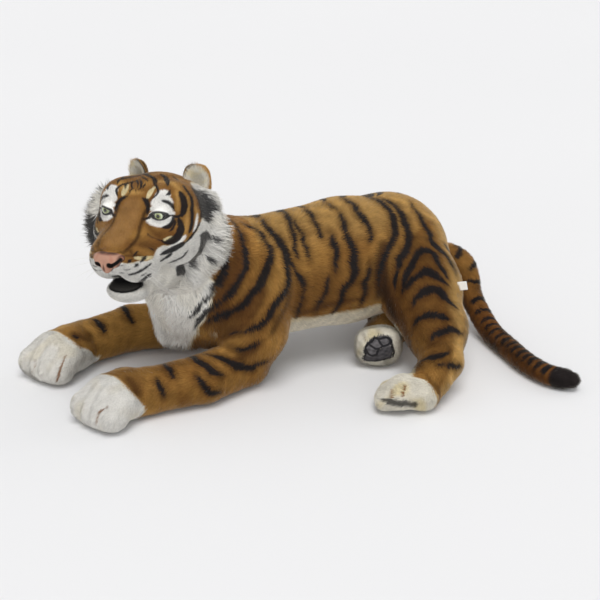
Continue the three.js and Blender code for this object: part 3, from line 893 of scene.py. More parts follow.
SOLE_PADS = {
    "toes": (13, [(368.6, 352.3), (373.5, 345.2), (382.9, 341.2), (387.3, 341.6)]),
    "heel_pad": (13, [(369.5, 357.7), (380.2, 356.3), (388.2, 351.4)]),
    "under": (7, [(365.9, 359.9), (378.4, 359.5), (390, 355.9)]),
}
PAD_LINES = {
    "outline": (
        2.1,
        [
            (374.4, 337.3), (378.4, 339.1), (382.9, 337.7), (386.6, 337.1), (390.2, 339.1), (392, 345.2),
            (394.1, 351.4), (392.7, 357.5), (386.4, 359.6), (375.7, 361.8), (366.1, 362.1), (362.5, 358.9),
            (365.4, 353.7), (364.6, 347.9), (368.6, 343.4), (371.7, 341.4), (374.4, 337.3),
        ],
    ),
    "toe_arch": (
        1.9,
        [
            (369.5, 345), (375.7, 349.1), (379.7, 348.6), (383.3, 346.5), (388.2, 344.8), (390.9, 342.5),
        ],
    ),
    "toe_parting": (1.9, [(378.4, 339.1), (380.4, 343.4), (383.3, 346.5)]),
    "toe_left_low": (
        1.9,
        [
            (365.9, 349.6), (367.9, 354.1), (372.1, 356.3), (376.4, 355), (377.7, 351.4), (379.3, 348.8),
        ],
    ),
}
BRUSHED = {"brushed": (8, [(381.5, 398.9), (390, 401.9), (402.5, 404.8), (416.8, 407)])}


CAST_STEPS, CAST_NEAR, CAST_START, CAST_FAR = 90, 0.3, 2000, 3200
MARK_SPACING = 3  # in pixels
LONGEST_STEP = 30  # a longer gap between neighbouring points of a mark is where it passes behind something


def cast(pixels):
    """Where the camera's rays through the pixels meet the tips of the coat, or pass closest to them."""
    rays = pixel_rays(pixels)
    reach = np.full(len(rays), CAST_START, np.float32)
    best, best_reach = np.full(len(rays), np.inf, np.float32), reach.copy()
    for _ in range(CAST_STEPS):
        going = np.flatnonzero((best > CAST_NEAR) & (reach < CAST_FAR))
        if not len(going):
            break
        near = evaluate(tips_form, EYE_POINT + rays[going] * reach[going, None])
        better = going[near < best[going]]
        best[better], best_reach[better] = near[near < best[going]], reach[better]
        reach[going] += np.clip(near * 0.9, 0.4, 80)
    return EYE_POINT + rays * best_reach[:, None]


class Marks:
    """Painted marks, in the coordinates that chart gives for points of the pose frame."""

    def __init__(self, marks, chart, taper=0.7, widen=1.0):
        self.chart, self.lines = chart, []
        curves = [curve(pixels, MARK_SPACING) for _, pixels in marks.values()]
        ends = np.cumsum([len(c) for c in curves])[:-1]
        for (width, _), points in zip(marks.values(), np.split(cast(np.concatenate(curves)), ends)):
            scale = length_of(points - EYE_POINT).mean() / FOCAL_PX
            t = np.linspace(0, 1, len(points))
            radius = widen * width / 2 * scale * (1 - taper + taper * np.sin(np.pi * t) ** 0.5)
            self.lines.append((chart(points), radius.astype(np.float32)))

    def depth(self, q, reach=6.0):
        """How far inside the marks each chart point is, in millimetres, down to -reach."""
        depth = np.full(len(q), -reach, np.float32)
        for points, radius in self.lines:
            margin = reach + radius.max()
            near = ((q > points.min(0) - margin) & (q < points.max(0) + margin)).all(1)
            if not near.any():
                continue
            local = q[near]
            best = depth[near]
            for a, b, ra, rb in zip(points, points[1:], radius, radius[1:]):
                along = b - a
                if along @ along > LONGEST_STEP**2:
                    along = along * 0
                t = np.clip((local - a) @ along / max(along @ along, 1e-6), 0, 1)
                away = length_of(local - a - t[:, None] * along)
                best = np.maximum(best, ra + (rb - ra) * t - away)
            depth[near] = best
        return depth


def as_it_is(p):
    return p


def head_chart(p):
    """Head coordinates with the right side folded onto the left."""
    q = head.into(p)
    return np.stack([q[:, 0], np.abs(q[:, 1]), q[:, 2]], 1)


def ruff_chart(p):
    """Directions from the middle of the head, so that a mark reaches through the whole depth of the ruff."""
    return 105 * unit(head_chart(p))


TRUNK_RADIUS, ARM_RADIUS = 110, 44


def trunk_chart(p):
    """Along the trunk and round it from the spine, with the right side folded onto the left."""
    angle = np.arctan2(np.abs(p[:, 1]), p[:, 2] - SPINE_Z)
    return np.stack([p[:, 0], TRUNK_RADIUS * angle, np.zeros(len(p))], 1).astype(np.float32)


def eye_rims(p, wider=0):
    """1 on the black rim of each eye's lids, which is broader above and drawn out to both corners."""
    rims = np.zeros(len(p), np.float32)
    for place in eyes.values():
        q = place.into(p)
        along = 1 - (q[:, 1] / RIM_HALF_WIDTH) ** 2
        reach = (np.where(q[:, 2] > 0, RIM_ABOVE, RIM_BELOW) + wider) * np.clip(along, 0, 1)
        rim = smooth(0.8, -0.8, np.abs(q[:, 2] + 0.5) - reach)
        rims = np.maximum(rims, rim * (along > 0) * (q[:, 0] > 0))
    return rims


def arm_chart(arm, side):
    """Along a foreleg and round it from its top, towards the outer side."""
    line = arm.line[1:]
    across = unit(np.cross(np.diff(line, axis=0), vec(0, 0, 1))) * side

    def chart(p):
        piece, along, out = beside(p, line)
        angle = np.arctan2((out * across[piece]).sum(1), out[:, 2])
        return np.stack([along, ARM_RADIUS * angle, 0 * along], 1).astype(np.float32)

    return chart


def noise(p, size, seed):
    """A smooth random value in about -1 to 1, with bumps about size across."""
    draw = np.random.default_rng(seed)
    total = np.zeros(len(p), np.float32)
    for _ in range(6):
        wave = unit(draw.normal(size=3).astype(np.float32)) * draw.uniform(1.6, 3.6) / size
        total += np.sin(p @ wave.astype(np.float32) + np.float32(draw.uniform(0, 6.28)))
    return total / 2.6


def warped(p, amount, size, seed):
    return p + amount * np.stack([noise(p, size, seed + axis) for axis in range(3)], 1)


def evaluate_face_zone(q):
    """The face's form, held back where the long hair of the ruff takes over below and behind the cheeks."""
    starts = np.interp(q[:, 2], [-30, 10], [32, -16])
    behind = np.clip(starts - q[:, 0], 0, 40) * smooth(58, 34, q[:, 2])
    return face_form(q) + 0.6 * behind


ZONES = {
    "trunk": trunk_form,
    "neck": neck_form,
    "breast": breast_form,
    "arm_left": left_arm.form,
    "arm_right": right_arm.form,
    "paw_left": left_arm.paw_form,
    "paw_right": right_arm.paw_form,
    "hind_left": left_hind_form,
    "foot_left": left_foot_form,
    "hind_right": right_hind_form,
    "foot_right": right_foot_form,
    "tail": tail_form,
    "face": lambda p: evaluate_face_zone(head.into(p)),
    "ruff": head.form(ruff_form),
}
ZONE_NAMES = list(ZONES)


def zone_distances(p):
    return {name: evaluate(form, p) for name, form in ZONES.items()}


def nearest_zone(distances):
    return np.argmin(np.stack([distances[name] for name in ZONE_NAMES]), 0)


def within(zone, *names):
    """True where the zone number is that of one of the named zones."""
    return np.isin(zone, [ZONE_NAMES.index(name) for name in names])


# ---------------------------------------------------------------- colours, from 0 to 255 on the screen

TAN = linear(148, 102, 48)
TAN_LIGHT = linear(184, 138, 72)
TAN_DARK = linear(104, 66, 29)
GOLD_TAN = linear(196, 156, 92)
FACE_TAN = linear(136, 94, 47)
WHITE = linear(250, 248, 243)
CREAM = linear(238, 222, 176)
BLACK = linear(34, 33, 36)
TAIL_BROWN = linear(116, 72, 34)
PAD_GREY, PAD_DARK = linear(108, 105, 107), linear(80, 77, 79)
HALO = linear(84, 52, 24)
SEAM_BROWN, GOLD_FRINGE = linear(150, 100, 54), linear(206, 158, 82)
MOUTH_BLACK = linear(16, 15, 17)

# Where the white of the coat ends, as (places, edge at each place): on the near hind foot by degrees round it
# from its top, on the face by how far forward, and on the bib by height.
FOOT_EDGE = ([-180, -90, 0, 16, 34, 52, 79, 130, 180], [-46, -10, -14, -34, -50, -56, -60, -60, -52])
FACE_EDGE = ([-12, 1.6, 11.5, 32, 49, 65, 74, 82, 95, 107], [26, 18, 11, 1, -6, -12, -14, -9, -18, -27])
BIB_EDGE = ([80, 140, 225, 250, 305, 345], [-259, -246, -232, -248, -214, -230])
# Where the painted highlight on the back edge of the haunch begins, by height.
HAUNCH_HIGHLIGHT_EDGE = ([38, 62, 92, 140, 220], [104, 146, 176, 196, 236])
# Each forepaw's white: the leg, its side, where the edge lies on top, and how far it slopes back below.
PAW_EDGES = ((left_arm, "left", 0, 0.45), (right_arm, "right", -2, 1.05))
SHORT_PILE = ("paw_left", "paw_right", "foot_left", "foot_right")
# painted shade: the white of the head and ruff is darker than the body's
HEAD_WHITE_SHADED = 0.86  # how light the head's white is beside the body's
RUFF_REACH = 186  # how far from the middle of the head the ruff's spots reach


def painted(base, *coats):
    """base with each (colour, share) laid over it in turn."""
    for colour, share in coats:
        base = mix(base, colour, share)
    return base


class Painter:
    """The colour of the coat at points on its tips."""

    def __init__(self):
        near = {**TRUNK_STRIPES, **BIB_STRIPES, **LIMB_STRIPES, **ARM_STRIPES, **FAR_ARM_STRIPES}
        self.near = Marks(near, as_it_is, 0.85, 1.38)
        self.far_trunk = Marks(TRUNK_STRIPES, trunk_chart, widen=1.35)
        self.left_arm = Marks(ARM_STRIPES, arm_chart(left_arm, -1), widen=1.35)
        self.face = Marks(FACE_MARKS, head_chart, 0.55, 1.25)
        self.forehead = Marks(FOREHEAD_MARKS, as_it_is, 0.55, 1.25)
        self.white = Marks(WHITE_MARKS, head_chart, 0.4)
        self.cream = Marks(CREAM_MARKS, head_chart, 0.3)
        self.ruff = Marks(RUFF_SPOTS, ruff_chart, 0.4)
        self.tints = [
            (linear(*colour), strength, softness, Marks(marks, chart, 0.5))
            for chart, table in ((as_it_is, TINTS), (head_chart, HEAD_TINTS))
            for colour, strength, softness, marks in table
        ]
        self.bridge_edge = self.tints[-1][-1]
        self.seams = Marks(TOE_SEAMS, as_it_is, 0.4, 1.5)
        self.pads = Marks(SOLE_PADS, as_it_is, 0.1)
        self.toes = Marks({"toes": SOLE_PADS["toes"]}, as_it_is, 0.1)
        self.pad_lines = Marks(PAD_LINES, as_it_is, 0.1, 1.35)
        self.brushed = Marks(BRUSHED, as_it_is, 0.5)

    def colours(self, p, d):
        """Linear colours at the points p, whose zone distances are d."""
        q, folded = head.into(p), head_chart(p)
        x, z = p[:, 0], p[:, 2]
        zone = nearest_zone(d)
        on_trunk, on_haunch, on_tail = within(zone, "trunk"), within(zone, "hind_left"), within(zone, "tail")
        on_face, on_head = within(zone, "face"), within(zone, "face", "ruff")
        short = within(zone, *SHORT_PILE)
        hind = within(zone, "foot_left", "foot_right", "hind_left", "hind_right")
        rump = on_haunch + on_trunk * smooth(135, 205, z)
        behind = smooth(-26, 12, x - np.interp(z, *HAUNCH_HIGHLIGHT_EDGE)) * rump
        base = painted(
            mix(TAN, TAN_LIGHT, 0.5 + 0.5 * np.clip(noise(p, 60, 1) * 0.7 + noise(p, 18, 2) * 0.3, -1, 1)),
            (TAN_DARK, 0.45 * smooth(0.1, 0.9, noise(p, 45, 3))),
            # painted highlight, partly the toy's gold: the top of the trunk lighter, as if lit from above
            (GOLD_TAN, 0.75 * smooth(235, 300, z) * on_trunk),
            # painted shade, partly the toy's darker paint: the sides of the trunk and neck darker below the
            # top
            (TAN_DARK, 0.4 * smooth(265, 215, z) * smooth(120, 150, z) * within(zone, "trunk", "neck")),
            # painted shade: the front of the haunch darker, away from the light
            (TAN_DARK, 0.65 * smooth(215, 180, x) * smooth(70, 110, z) * on_haunch),
            # painted highlight: the back edge of the haunch and rump lighter gold, as if lit from behind
            (GOLD_TAN, 0.95 * behind),
            # painted highlight: the far foreleg lighter, making up for the shade that it lies in
            (TAN_LIGHT, 0.85 * within(zone, "arm_right")),
            (
                mix(FACE_TAN, TAN_LIGHT, 0.25 + 0.25 * noise(p, 14, 4)),
                smooth(6, -6, d["face"] - np.minimum(d["neck"], d["trunk"])),
            ),
            (TAIL_BROWN, on_tail * (0.25 + 0.6 * smooth(120, 40, z))),
        )
        # the tints lay airbrushing, painted shade and painted highlights over the base
        for colour, strength, softness, marks in self.tints:
            depth = marks.depth(marks.chart(p), 12)
            base = mix(base, colour, strength * smooth(-softness, softness, depth) * ~on_tail)
        white = self.whiteness(p, q, d, zone)
        fringe = 4 * white * (1 - white)
        cream = 0.05 + 0.05 * within(zone, "paw_right") + 0.2 * on_trunk + 0.3 * hind
        cream = cream + (0.12 + 0.1 * short + 0.3 * hind) * smooth(0.1, 1, noise(p, 26, 5))
        base = painted(
            base,
            # the head's white darkened by the factor above, as painted shade
            (mix(WHITE, CREAM, cream) * np.where(on_head, HEAD_WHITE_SHADED, 1)[:, None], white),
            (CREAM, 0.5 * fringe),
            (GOLD_FRINGE, 0.75 * fringe * short),
            (WHITE, 0.97 * smooth(-1.5, 1.5, self.white.depth(folded)) * on_head),
            (CREAM, 0.9 * smooth(-1, 1, self.cream.depth(folded)) * on_face),
            (WHITE, 0.97 * eye_rims(p, 5.5) * on_face),
        )
        return self.with_black(base, p, q, d, zone)

    def whiteness(self, p, q, d, zone):
        """1 on the belly, bib, ruff, chin and paws."""
        x, z = p[:, 0], p[:, 2]
        wave = 3 * noise(p, 20, 6)
        body = within(zone, "trunk", "neck", "breast", "hind_left", "hind_right")
        back_of_head = smooth(20, 44, q[:, 2]) * smooth(6, -16, q[:, 0]) * smooth(70, 50, np.abs(q[:, 1] + 5))
        cheek = np.interp(q[:, 0], *FACE_EDGE) + 1.2 * noise(p, 8, 7)
        whites = [
            smooth(124, 114, z + wave) * smooth(12, -6, d["trunk"]) * within(zone, "trunk", "breast"),
            smooth(4, -4, x - np.interp(z, *BIB_EDGE) + wave) * body * smooth(350, 335, z),
            (1 - back_of_head) * within(zone, "ruff"),
            smooth(1.5, -1.5, q[:, 2] - cheek) * within(zone, "face"),
        ]
        for arm, name, start, drop in PAW_EDGES:
            edge = start - drop * np.clip(80 - z, 0, 60) + wave
            foreleg = within(zone, "paw_" + name, "arm_" + name)
            whites.append(smooth(-2.5, 2.5, arm.paw.into(p)[:, 0] - edge) * foreleg)
        local = left_foot.into(p)
        edge = np.interp(np.degrees(np.arctan2(local[:, 1], local[:, 2])), *FOOT_EDGE) + wave
        foot = within(zone, "foot_left") | (within(zone, "hind_left") & (d["foot_left"] < 11))
        whites.append(smooth(-2.5, 2.5, local[:, 0] - edge) * foot * (z < 90))
        foot = within(zone, "foot_right", "hind_right") & (d["foot_right"] < 12)
        whites.append(smooth(-2.5, 2.5, right_foot.into(p)[:, 0] + 16 + wave) * foot)
        return np.max(whites, 0)

    def with_black(self, base, p, q, d, zone):
        """base with the stripes, spots, pads and seams on it."""
        wavy, fine = warped(warped(p, 1.6, 16, 30), 0.8, 5, 40), warped(p, 0.4, 5, 50)
        on_head, on_tail = within(zone, "face", "ruff"), within(zone, "tail")
        near = self.near.depth(wavy, 12)
        halo = smooth(-12, -1, near) * ~on_head * ~on_tail * (base[:, 2] < 0.3)
        right_side = (p[:, 1] > 12) & ~within(zone, "face", "ruff", "tail", "arm_right", "paw_right")
        outer = arm_chart(right_arm, 1)(wavy)
        right_arm_side = within(zone, "arm_right") * (outer[:, 1] > 30)
        drawn = np.maximum(self.face.depth(head_chart(fine)), self.forehead.depth(fine))
        spots = self.ruff.depth(ruff_chart(warped(p, 4, 10, 60)))
        hairy = within(zone, "face", "ruff", "neck", "breast") & (length_of(q) < RUFF_REACH)
        black = [
            smooth(-1.8, 1.8, near) * ~on_head,
            smooth(-1.8, 1.8, self.far_trunk.depth(trunk_chart(wavy))) * right_side,
            smooth(-1.8, 1.8, self.left_arm.depth(outer)) * right_arm_side,
            smooth(-0.7, 0.9, drawn) * on_head,
            eye_rims(p),
            0.98 * smooth(-5, 1, spots) * hairy,
            self.tail_rings(wavy) * on_tail,
        ]
        foot = within(zone, "foot_left", "foot_right")
        grey = mix(PAD_DARK, PAD_GREY, smooth(-2, 2, self.toes.depth(p)))
        strip = self.brushed.depth(warped(p, 2, 5, 55)) + 1.5 * noise(p, 3, 56)
        return painted(
            base,
            (HALO, 0.5 * halo),
            (BLACK, 0.96 * np.max(black, 0)),
            (MOUTH_BLACK, self.mouth(q) * within(zone, "face") * (d["face"] < 1.5)),
            (mix(grey, BLACK, 0.25 + 0.25 * noise(p, 3, 57)), smooth(-0.8, 0.8, self.pads.depth(p)) * foot),
            (BLACK, smooth(-0.6, 0.8, self.pad_lines.depth(p)) * foot * 0.95),
            (BLACK, smooth(-2.5, 2, strip) * foot * 0.85),
            (SEAM_BROWN, 0.9 * smooth(-0.7, 0.5, self.seams.depth(p)) * within(zone, *SHORT_PILE)),
        )

    def mouth(self, q):
        """1 inside the open mouth."""
        cavity = smooth(3.6, 2.2, mouth_form(q)) * smooth(84, 92, q[:, 0]) * smooth(1.5, 3.5, lips_form(q))
        inside = smooth(15, 12, np.abs(q[:, 1])) * smooth(-60, -63, q[:, 2]) * smooth(96, 102, q[:, 0])
        return np.max([cavity, inside * (q[:, 2] > -84), smooth(2.5, 1, nose_shape(q))], 0)

    def tail_rings(self, p):
        """Black rings over the tail's upper side, and its black tip."""
        along, up = tail_chart(p)
        ring = np.min(np.abs(along[:, None] - TAIL_RINGS), 1)
        wide = 5.4 * smooth(-0.5, 0.6, up)
        rings = smooth(1.5, -1.5, ring - wide) * smooth(-0.1, 0.3, up)
        return np.maximum(rings, smooth(-4, 4, along - TAIL_BLACK_FROM))


TAIL_RINGS = np.array([62, 96, 130, 172, 203, 229, 250, 270, 296, 318, 336, 355, 376, 395, 411, 430, 447])
TAIL_BLACK_FROM = 458
TAIL_POINT = TAIL[-1] + 31 * unit(TAIL[-1] - TAIL[-2])  # where the hairs of the tip come together


def tail_chart(p):
    """How far along the tail each point is, and how far towards its upper side, from -1 to 1."""
    _, along, out = beside(p, TAIL)
    return along, out @ unit(vec(0.35, 0, 1)) / np.maximum(length_of(out), 1)


# ---------------------------------------------------------------- skin

SKIN_CELL = 4.2
SKIN_LOW, SKIN_HIGH = (-560, -374, -8), (402, 252, 472)
# painted shade: the skin under the pile is darker than the tips
SKIN_SHADE = 0.92  # how light the skin is beside the tips of the coat
painter = Painter()


def outward(form, points):
    return unit(slope(form, points))


def pile_depth(points):
    """How far the tips of the coat are from points on the skin."""
    return np.clip(-evaluate(tips_form, points), 0.8, 26)


def features(points):
    """True where the skin needs its finest triangles: eyes, nose, mouth and the seams between toes."""
    q = head.into(points)
    near_eye = np.min([length_of(points - eye.origin) for eye in eyes.values()], 0) < 24
    front = (q[:, 0] > 104) & (np.abs(q[:, 1]) < 46) & (q[:, 2] > -90) & (q[:, 2] < 4)
    sole = np.maximum(painter.seams.depth(points), painter.pads.depth(points))
    return near_eye | front | (sole > -5)


def on_front_of_head(points):
    q = head.into(points)
    return (q[:, 0] > 6) & (np.abs(evaluate(face_form, q)) < 9)


def skin_mesh():
    points, triangles = surface_net(skin_form, SKIN_LOW, SKIN_HIGH, SKIN_CELL)
    points = relax(skin_form, relax(skin_form, points, triangles), triangles)
    for wanted in (lambda p: on_front_of_head(p) | features(p), features):
        points, triangles = refine(skin_form, points, triangles, wanted(points))
    points = relax(skin_form, points, triangles, 0.3)
    normals = outward(skin_form, points)
    surface = points + normals * pile_depth(points)[:, None]
    groove = smooth(-4, 1, painter.seams.depth(surface))
    pad = 3.4 * smooth(-1, 1.5, painter.pads.depth(surface))
    points = points + (pad - 4 * groove)[:, None] * normals
    crease = smooth(-6, 1.5, painter.bridge_edge.depth(head_chart(points), 8))
    crease = crease * (head.into(points)[:, 0] > 60)
    points = points - 2.0 * crease[:, None] * normals
    points[:, 2] = np.maximum(points[:, 2], 1)
    return points, triangles, normals


skin_points, skin_triangles, skin_normals = skin_mesh()
tips = skin_points + skin_normals * pile_depth(skin_points)[:, None]
# the skin's colour darkened by SKIN_SHADE as painted shade under the pile
skin_colours = painter.colours(tips, zone_distances(tips)) * SKIN_SHADE
skin = new_piece("plush_skin", skin_points, skin_triangles, skin_colours, skin_normals)

# ---------------------------------------------------------------- coat


class Lie:
    """How the tufts of one zone stand: tilt from the skin in degrees, width, skin area for each in mm2."""

    def __init__(self, tilt, width, area, bent=False, spread=0.12):
        self.tilt, self.width, self.area = math.radians(tilt), width, area
        self.bent, self.spread = bent, spread


BODY_LIE, PAW_LIE = Lie(36, 1.9, 2.9), Lie(38, 1.5, 2.6)
LIES = {
    "trunk": BODY_LIE,
    "neck": Lie(42, 1.9, 3.4, True, 0.25),
    "breast": Lie(40, 1.9, 4.2, True, 0.3),
    "arm_left": BODY_LIE,
    "arm_right": BODY_LIE,
    "paw_left": PAW_LIE,
    "paw_right": PAW_LIE,
    "hind_left": BODY_LIE,
    "foot_left": PAW_LIE,
    "hind_right": BODY_LIE,
    "foot_right": PAW_LIE,
    "tail": Lie(38, 1.8, 2.8),
    "face": Lie(36, 0.95, 1.25),
    "ruff": Lie(44, 1.7, 3.6, True, 0.3),
}
PIECES = {
    "coat_trunk": ("trunk",),
    "coat_neck": ("neck", "breast"),
    "coat_forelegs": ("arm_left", "arm_right", "paw_left", "paw_right"),
    "coat_hindlegs": ("hind_left", "hind_right", "foot_left", "foot_right"),
    "coat_tail": ("tail",),
    "coat_face": ("face",),
    "coat_ruff": ("ruff",),
}


def lies_along(p):
    """The way that the coat of each zone runs at the points, before it is laid along the skin."""
    q = head.into(p)
    side = np.sign(q[:, 1])[:, None]
    from_nose = unit(q - vec(150, 0, -14))
    ruff = unit(vec(-0.55, 0, -0.55) + side * vec(0, 0.75, 0) + unit(q * vec(0, 1, 1)) * 0.9)
    line = {"arm_left": left_arm.line, "arm_right": right_arm.line, "tail": TAIL}
    line["hind_left"] = np.array([HIP, SHANK, ANKLE, HEEL, (20, -246, 30)], np.float32)
    line["hind_right"] = np.array([RIGHT_HAUNCH, RIGHT_SHANK, RIGHT_ANKLE, RIGHT_FOOT], np.float32)
    fixed = {
        "trunk": vec(1, 0, -0.4),
        "neck": vec(0.8, 0, -0.7),
        "breast": vec(-0.3, 0, -1),
        "paw_left": left_arm.paw.turned((1, 0, -0.5)),
        "paw_right": right_arm.paw.turned((1, 0, -0.5)),
        "foot_left": left_foot.turned((1, 0, -0.2)),
        "foot_right": right_foot.turned((1, 0, -0.2)),
    }
    out = {name: np.broadcast_to(direction, p.shape) for name, direction in fixed.items()}
    out.update({name: unit(np.diff(points, axis=0))[beside(p, points)[0]] for name, points in line.items()})
    past_tip = (p - TAIL[-1]) @ unit(TAIL[-1] - TAIL[-2]) > -24
    out["tail"][past_tip] = unit(TAIL_POINT - p[past_tip])
    out["face"], out["ruff"] = head.turned(from_nose), head.turned(ruff)
    return out


def flow(p, normals, distances):
    """Unit directions along the skin, eased from each zone to the next."""
    lie = lies_along(p)
    nearest = np.min(list(distances.values()), 0)
    total = sum(np.exp(-(distances[name] - nearest) / 7)[:, None] * lie[name] for name in lie)
    total = total + 0.35 * np.stack([noise(p, 30, 70 + axis) for axis in range(3)], 1)
    total -= (total * normals).sum(1)[:, None] * normals
    return unit(total)


def bare(points):
    """True where no tuft grows: the nose, the eyeballs, the mouth and the sewn toe seams."""
    q = head.into(points)
    mouth = (mouth_form(q) < 3) & (q[:, 0] > 94) & (lips_form(q) > 2)
    ball = np.min([length_of(points - eye.origin) for eye in eyes.values()], 0) < EYE_RADIUS + 2.2
    sole = np.maximum(painter.pads.depth(points) - 1, painter.seams.depth(points) + 0.8)
    return (nose_shape(q) < 1.2) | mouth | ball | (sole > 0)


UNWRAP_MARGIN = 0.03


def unwrap(points, normals):
    """A place for each point on the skin's own box unwrap: six tiles, one for each way that it can face."""
    low, high = skin_points.min(0), skin_points.max(0)
    at = (points - low) / (high - low)
    axis = np.abs(normals).argmax(1)
    rows = np.arange(len(points))
    tile = axis * 2 + (normals[rows, axis] > 0)
    across, up = at[rows, (axis + 1) % 3], at[rows, (axis + 2) % 3]
    inner = 1 - 2 * UNWRAP_MARGIN
    u = (tile % 3 + UNWRAP_MARGIN + inner * across) / 3
    v = (tile // 3 + UNWRAP_MARGIN + inner * up) / 2
    return np.stack([u, v], 1)


PATCH = 0.0015
# Painted shade at each tuft's root and a painted highlight at its tip, as factors on its colour.
ROOT_SHADE, TIP_SHADE = 0.8, 1.04
RING = np.radians([90, 210, 330])


def plant(points, triangles, normals, area_each):
    """Roots scattered over a skin, one to every area_each of mm2: their places, normals and triangles."""
    corners = points[triangles]
    area = length_of(np.cross(corners[:, 1] - corners[:, 0], corners[:, 2] - corners[:, 0])) / 2
    count = np.floor(area / area_each + random.random(len(area))).astype(int)
    chosen = np.repeat(np.arange(len(triangles)), count)
    a, b = random.random((2, len(chosen), 1)).astype(np.float32)
    a, b = np.where(a + b > 1, 1 - a, a), np.where(a + b > 1, 1 - b, b)

    def between(values):
        one, two, three = (values[triangles[chosen, i]] for i in range(3))
        return one + a * (two - one) + b * (three - one)

    return between(points), unit(between(normals)), chosen


def tufts(name, roots, normals, lie_dirs, lengths, widths, tilts, colours, bent):
    """A mesh of solid tufts, three-sided and pointed, and bent towards the skin half way if bent."""
    n = len(roots)
    across = unit(np.cross(normals, lie_dirs))
    rise = np.sin(tilts)[:, None] * normals + np.cos(tilts)[:, None] * lie_dirs
    over = np.sin(tilts * 0.45)[:, None] * normals + np.cos(tilts * 0.45)[:, None] * lie_dirs
    above = np.cross(rise, across)
    ring = [(np.cos(t) * across + np.sin(t) * above) * widths[:, None] / 2 for t in RING]
    if bent:
        middle = roots + rise * lengths[:, None] * 0.5
        end = middle + over * lengths[:, None] * 0.5
        rows = [roots + r for r in ring] + [middle + 0.8 * r for r in ring] + [end]
        faces = [(0, 1, 4), (0, 4, 3), (1, 2, 5), (1, 5, 4), (2, 0, 3), (2, 3, 5)]
        faces += [(3, 4, 6), (4, 5, 6), (5, 3, 6)]
        shade = [ROOT_SHADE] * 3 + [0.95] * 3 + [TIP_SHADE]
        own = [unit(r) for r in ring] * 2 + [unit(over + above)]
    else:
        end = roots + rise * lengths[:, None]
        rows = [roots + r for r in ring] + [end]
        faces = [(0, 1, 3), (1, 2, 3), (2, 0, 3)]
        shade = [ROOT_SHADE] * 3 + [TIP_SHADE]
        own = [unit(r) for r in ring] + [unit(rise + above)]
    sides = len(rows)
    points = np.stack(rows, 1).reshape(-1, 3).astype(np.float32)
    points[:, 2] = np.maximum(points[:, 2], 0.4)
    triangles = (np.arange(n)[:, None, None] * sides + np.array(faces)[None]).reshape(-1, 3)
    # painted shade towards each tuft's root and painted highlight at its tip
    tint = (colours[:, None] * np.array(shade, np.float32)[None, :, None]).reshape(-1, 3)
    jitter = random.normal(0, 0.12, (n, 1, 3)).astype(np.float32)
    lit = unit(0.78 * normals[:, None] + 0.22 * np.stack(own, 1) + jitter).reshape(-1, 3)
    patch = np.array([(math.cos(t), math.sin(t)) for t in RING] * (2 if bent else 1) + [(0, 0)], np.float32)
    if bent:
        patch[3:6] *= 0.5
    uv = (unwrap(roots, normals)[:, None] + PATCH * patch[None]).reshape(-1, 2)
    return new_piece(name, points, triangles, tint, lit, uv)


RUFF_LEAST = 15  # the shortest tufts of the ruff
# Where each piece of the coat is parted into left and right, if that isn't at y = 0.
SPLIT_Y = {"coat_face": -60, "coat_ruff": -30, "coat_tail": 1000}


def grow():
    """The tufts of the whole coat, as its pieces."""
    zone = nearest_zone(zone_distances(skin_points[skin_triangles].mean(1)))
    area_each = np.array([LIES[name].area for name in ZONE_NAMES], np.float32)[zone]
    roots, normals, chosen = plant(skin_points, skin_triangles, skin_normals, area_each)
    kept = ~bare(roots)
    roots, normals, zone = roots[kept], normals[kept], zone[chosen][kept]
    depth = pile_depth(roots)
    distances = zone_distances(roots + normals * depth[:, None])
    lie_dirs = flow(roots, normals, distances)
    tilt_of, width_of, spread_of, bent_of = (
        np.array([getattr(LIES[name], key) for name in ZONE_NAMES])
        for key in ("tilt", "width", "spread", "bent")
    )
    clumps = 0.5 + 0.5 * noise(roots, 9, 80)
    tilts = tilt_of[zone] * (1 + 0.12 * noise(roots, 14, 81) + random.normal(0, 0.06, len(roots)))
    lie_dirs = lie_dirs + random.normal(0, 1, roots.shape) * spread_of[zone][:, None]
    lie_dirs -= (lie_dirs * normals).sum(1)[:, None] * normals
    lie_dirs = unit(lie_dirs).astype(np.float32)
    lengths = depth / np.sin(tilts) * random.uniform(0.86, 1.1, len(roots))
    short = within(zone, "ruff") & (lengths < RUFF_LEAST)
    lengths[short] = RUFF_LEAST * random.uniform(0.8, 1.1, short.sum())
    tilts[short] *= 0.7
    lengths = np.where(bent_of[zone], lengths * 1.12, lengths)
    widths = width_of[zone] * random.uniform(0.8, 1.15, len(roots))
    reach = np.sin(tilts)[:, None] * normals + np.cos(tilts)[:, None] * lie_dirs
    shown_at = (roots + reach * lengths[:, None] * 0.8).astype(np.float32)
    colours = painter.colours(shown_at, zone_distances(shown_at))
    shaggy = within(zone, "ruff", "neck", "breast")
    low_at = (roots + reach * lengths[:, None] * 0.4).astype(np.float32)[shaggy]
    low_colours = painter.colours(low_at, zone_distances(low_at))
    darker = low_colours.sum(1) < colours[shaggy].sum(1)
    colours[shaggy] = np.where(darker[:, None], low_colours, colours[shaggy])
    uneven = 0.1 * random.normal(0, 1, len(roots)) + 0.2 * (clumps - 0.5)
    vary = 1 + np.where(within(zone, *SHORT_PILE), 0.4, 1) * uneven
    colours = (colours * np.clip(vary, 0.7, 1.3)[:, None]).astype(np.float32)
    made = []
    for piece, names in PIECES.items():
        right = roots[:, 1] > SPLIT_Y.get(piece, 0)
        for side, half in (("left", ~right), ("right", right)):
            here = within(zone, *names) & half
            if not here.any():
                continue
            own = [v[here].astype(np.float32) for v in (lengths, widths, tilts)]
            made.append(
                tufts(
                    f"{piece}_{side}", roots[here], normals[here], lie_dirs[here], *own, colours[here],
                    LIES[names[0]].bent,
                )
            )
    return made


coat_pieces = grow()

# ---------------------------------------------------------------- materials


